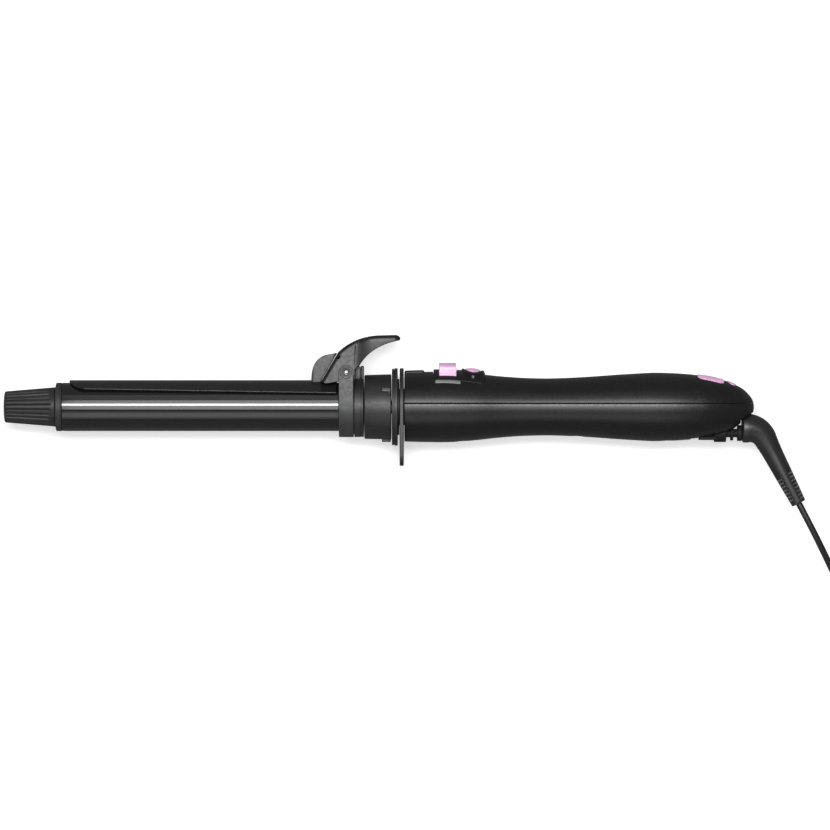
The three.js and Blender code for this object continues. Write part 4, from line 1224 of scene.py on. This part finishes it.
def make_panel():
    pad = draped("control_pad", grown(PANEL, 0), -0.5, pad_height, 0.3, rows=16)
    cut(pad, through(grown(STEM, 0.4, 2)), through(swollen((POWER[0], *POWER_RING), 0.15)))
    dress(pad, "control_panel", panel_plastic)


def make_trims():
    for node in ("slider_trim_left", "slider_trim_right"):
        side = 1 if span(node)[0].z > 0 else -1
        dress(draped(node + "_shaped", trim_box(side, 0), -1, 0.35, 0.2), node, trim_plastic)


def make_slider():
    half = SLIDER_HALF
    shoulder = bezier((half, 20.45), (half, 20.65), (half - 0.15, 20.8), (half - 0.35, 20.85), 5)
    crown = bezier((half - 0.35, 20.85), (half - 4.5, 23.45), (-half + 4.5, 23.45), (-half + 0.35, 20.85), 24)
    far = [(-z, y) for z, y in shoulder[::-1]]
    section = [(half, 13), *shoulder, *crown[1:-1], *far, (-half, 13)]
    slider = prism("release_slider", section, SLIDER_START, SLIDER_END, "x")
    soften(slider, 0.3, 3)
    groove_floor = [(22.62 - 0.0158 * z * z, z) for z in range(-8, 9, 2)]
    groove_sides = [(-0.3, 0), (0.3, 0), (0.4, 4), (-0.4, 4)]
    for x in (226.8, 228.7, 230.6):
        cut(slider, loft("groove", [[(x + u, y + v, z) for u, v in groove_sides] for y, z in groove_floor]))
    below = draped("below", rounded_box(215, 245, 15, 1), -8, lambda z: pad_height(z) + 0.15, 0.01, rows=24)
    cut(slider, below)
    stem = common(through(grown(STEM, 0)), form(PAD_RISE + 0.6, 215, 245, 96, 1.5))
    cut(stem, form(-0.2, 214, 246, 96, 1.5))
    dress(join(slider, stem), "lock_slider", pink_plastic)


def make_buttons():
    bezel = draped_ring("power_ring", oval(POWER[0], *POWER_RING), swollen(POWER, 0.25), -0.5, 2.0, 0.4)
    dress(bezel, "power_bezel", panel_plastic)
    power = draped("power_dome", oval(*POWER), -1.6, 2.2, 0.5, 0.5)
    dress(power, "power_button", pink_plastic)
    rocker = draped("heat_rocker", grown(TEMPERATURE, 0), -1.6, 0.45, 0.55)
    dress(rocker, "temperature_rocker", pink_plastic)
    mode = draped("mode_dome", oval(*MODE), -1.6, 0.4, 0.35, 0.15)
    dress(mode, "mode_button", pink_plastic)


make_upper_shell()
make_lower_shell()
make_panel()
make_trims()
make_slider()
make_buttons()

# What stays as the CAD frame has it, such as the parts inside, takes its slot's material
FINISHES["yoke_metal"] = yoke_paint
for node, piece in frame["nodes"].items():
    piece.data.materials.clear()
    piece.data.materials.append(FINISHES[NODE_SLOT[node]])

# Floor, studio panels and surroundings
PANEL_LENGTH = 0.75


def add_floor():
    paper, tree, shader, vector = shader_setup("floor_paper")
    soft = between(tree, noise(tree, vector, 0.004, 3), 0, 1)
    tree.links.new(tint(tree, soft, (0.86, 0.86, 0.86), (0.88, 0.88, 0.88)), shader.inputs["Base Color"])
    shader.inputs["Roughness"].default_value = 0.9
    shader.inputs["Emission Color"].default_value = (1, 1, 1, 1)
    shader.inputs["Emission Strength"].default_value = 0.5
    corners = [(-4, -4), (4, -4), (4, 4), (-4, 4)]
    floor = new_piece("floor", [(x, y, -0.4 * MM) for x, y in corners], [(0, 1, 2, 3)])
    floor.data.materials.append(paper)
    floor.visible_glossy = False


def add_panel(name, near, far, radiance):
    """A studio light in the plane across the iron, from (y, z) near to (y, z) far, in metres."""
    a, b = Vector((0, *near)), Vector((0, *far))
    data = bpy.data.lights.new(name, "AREA")
    data.shape = "RECTANGLE"
    data.size = PANEL_LENGTH
    data.size_y = (b - a).length
    data.energy = radiance * 4 * PANEL_LENGTH * data.size_y
    light = bpy.data.objects.new(name, data)
    bpy.context.scene.collection.objects.link(light)
    across = (b - a).normalized()
    facing = Vector((1, 0, 0)).cross(across)
    if facing.z < 0:
        facing, across = -facing, -across
    turn = Matrix((Vector((1, 0, 0)), across, facing)).transposed()
    light.matrix_world = Matrix.Translation((a + b) / 2) @ turn.to_4x4()
    light.visible_camera = False


def at_angle(degrees, distance):
    """A place seen from the iron at an angle from straight up, towards +y."""
    a = math.radians(degrees)
    return AXIS_Y + distance * math.sin(a), AXIS_Z + distance * math.cos(a)


add_floor()
add_panel("key_strip", at_angle(6, 1.0), at_angle(15, 1.02), 11)
add_panel("flank_panel", at_angle(-12, 1.12), at_angle(31, 1.2), 1.9)
add_panel("fill_panel", at_angle(-58, 1.1), at_angle(-22, 1.1), 0.3)
add_panel("fill_core", at_angle(-49, 1.15), at_angle(-29, 1.15), 0.35)
add_panel("back_panel", at_angle(33, 1.2), at_angle(58, 1.2), 0.26)

bpy.context.scene.view_settings.view_transform = "Standard"
world = bpy.data.worlds.new("studio")
bpy.context.scene.world = world
world.use_nodes = True
world.node_tree.nodes["Background"].inputs["Color"].default_value = (0.16, 0.16, 0.16, 1)
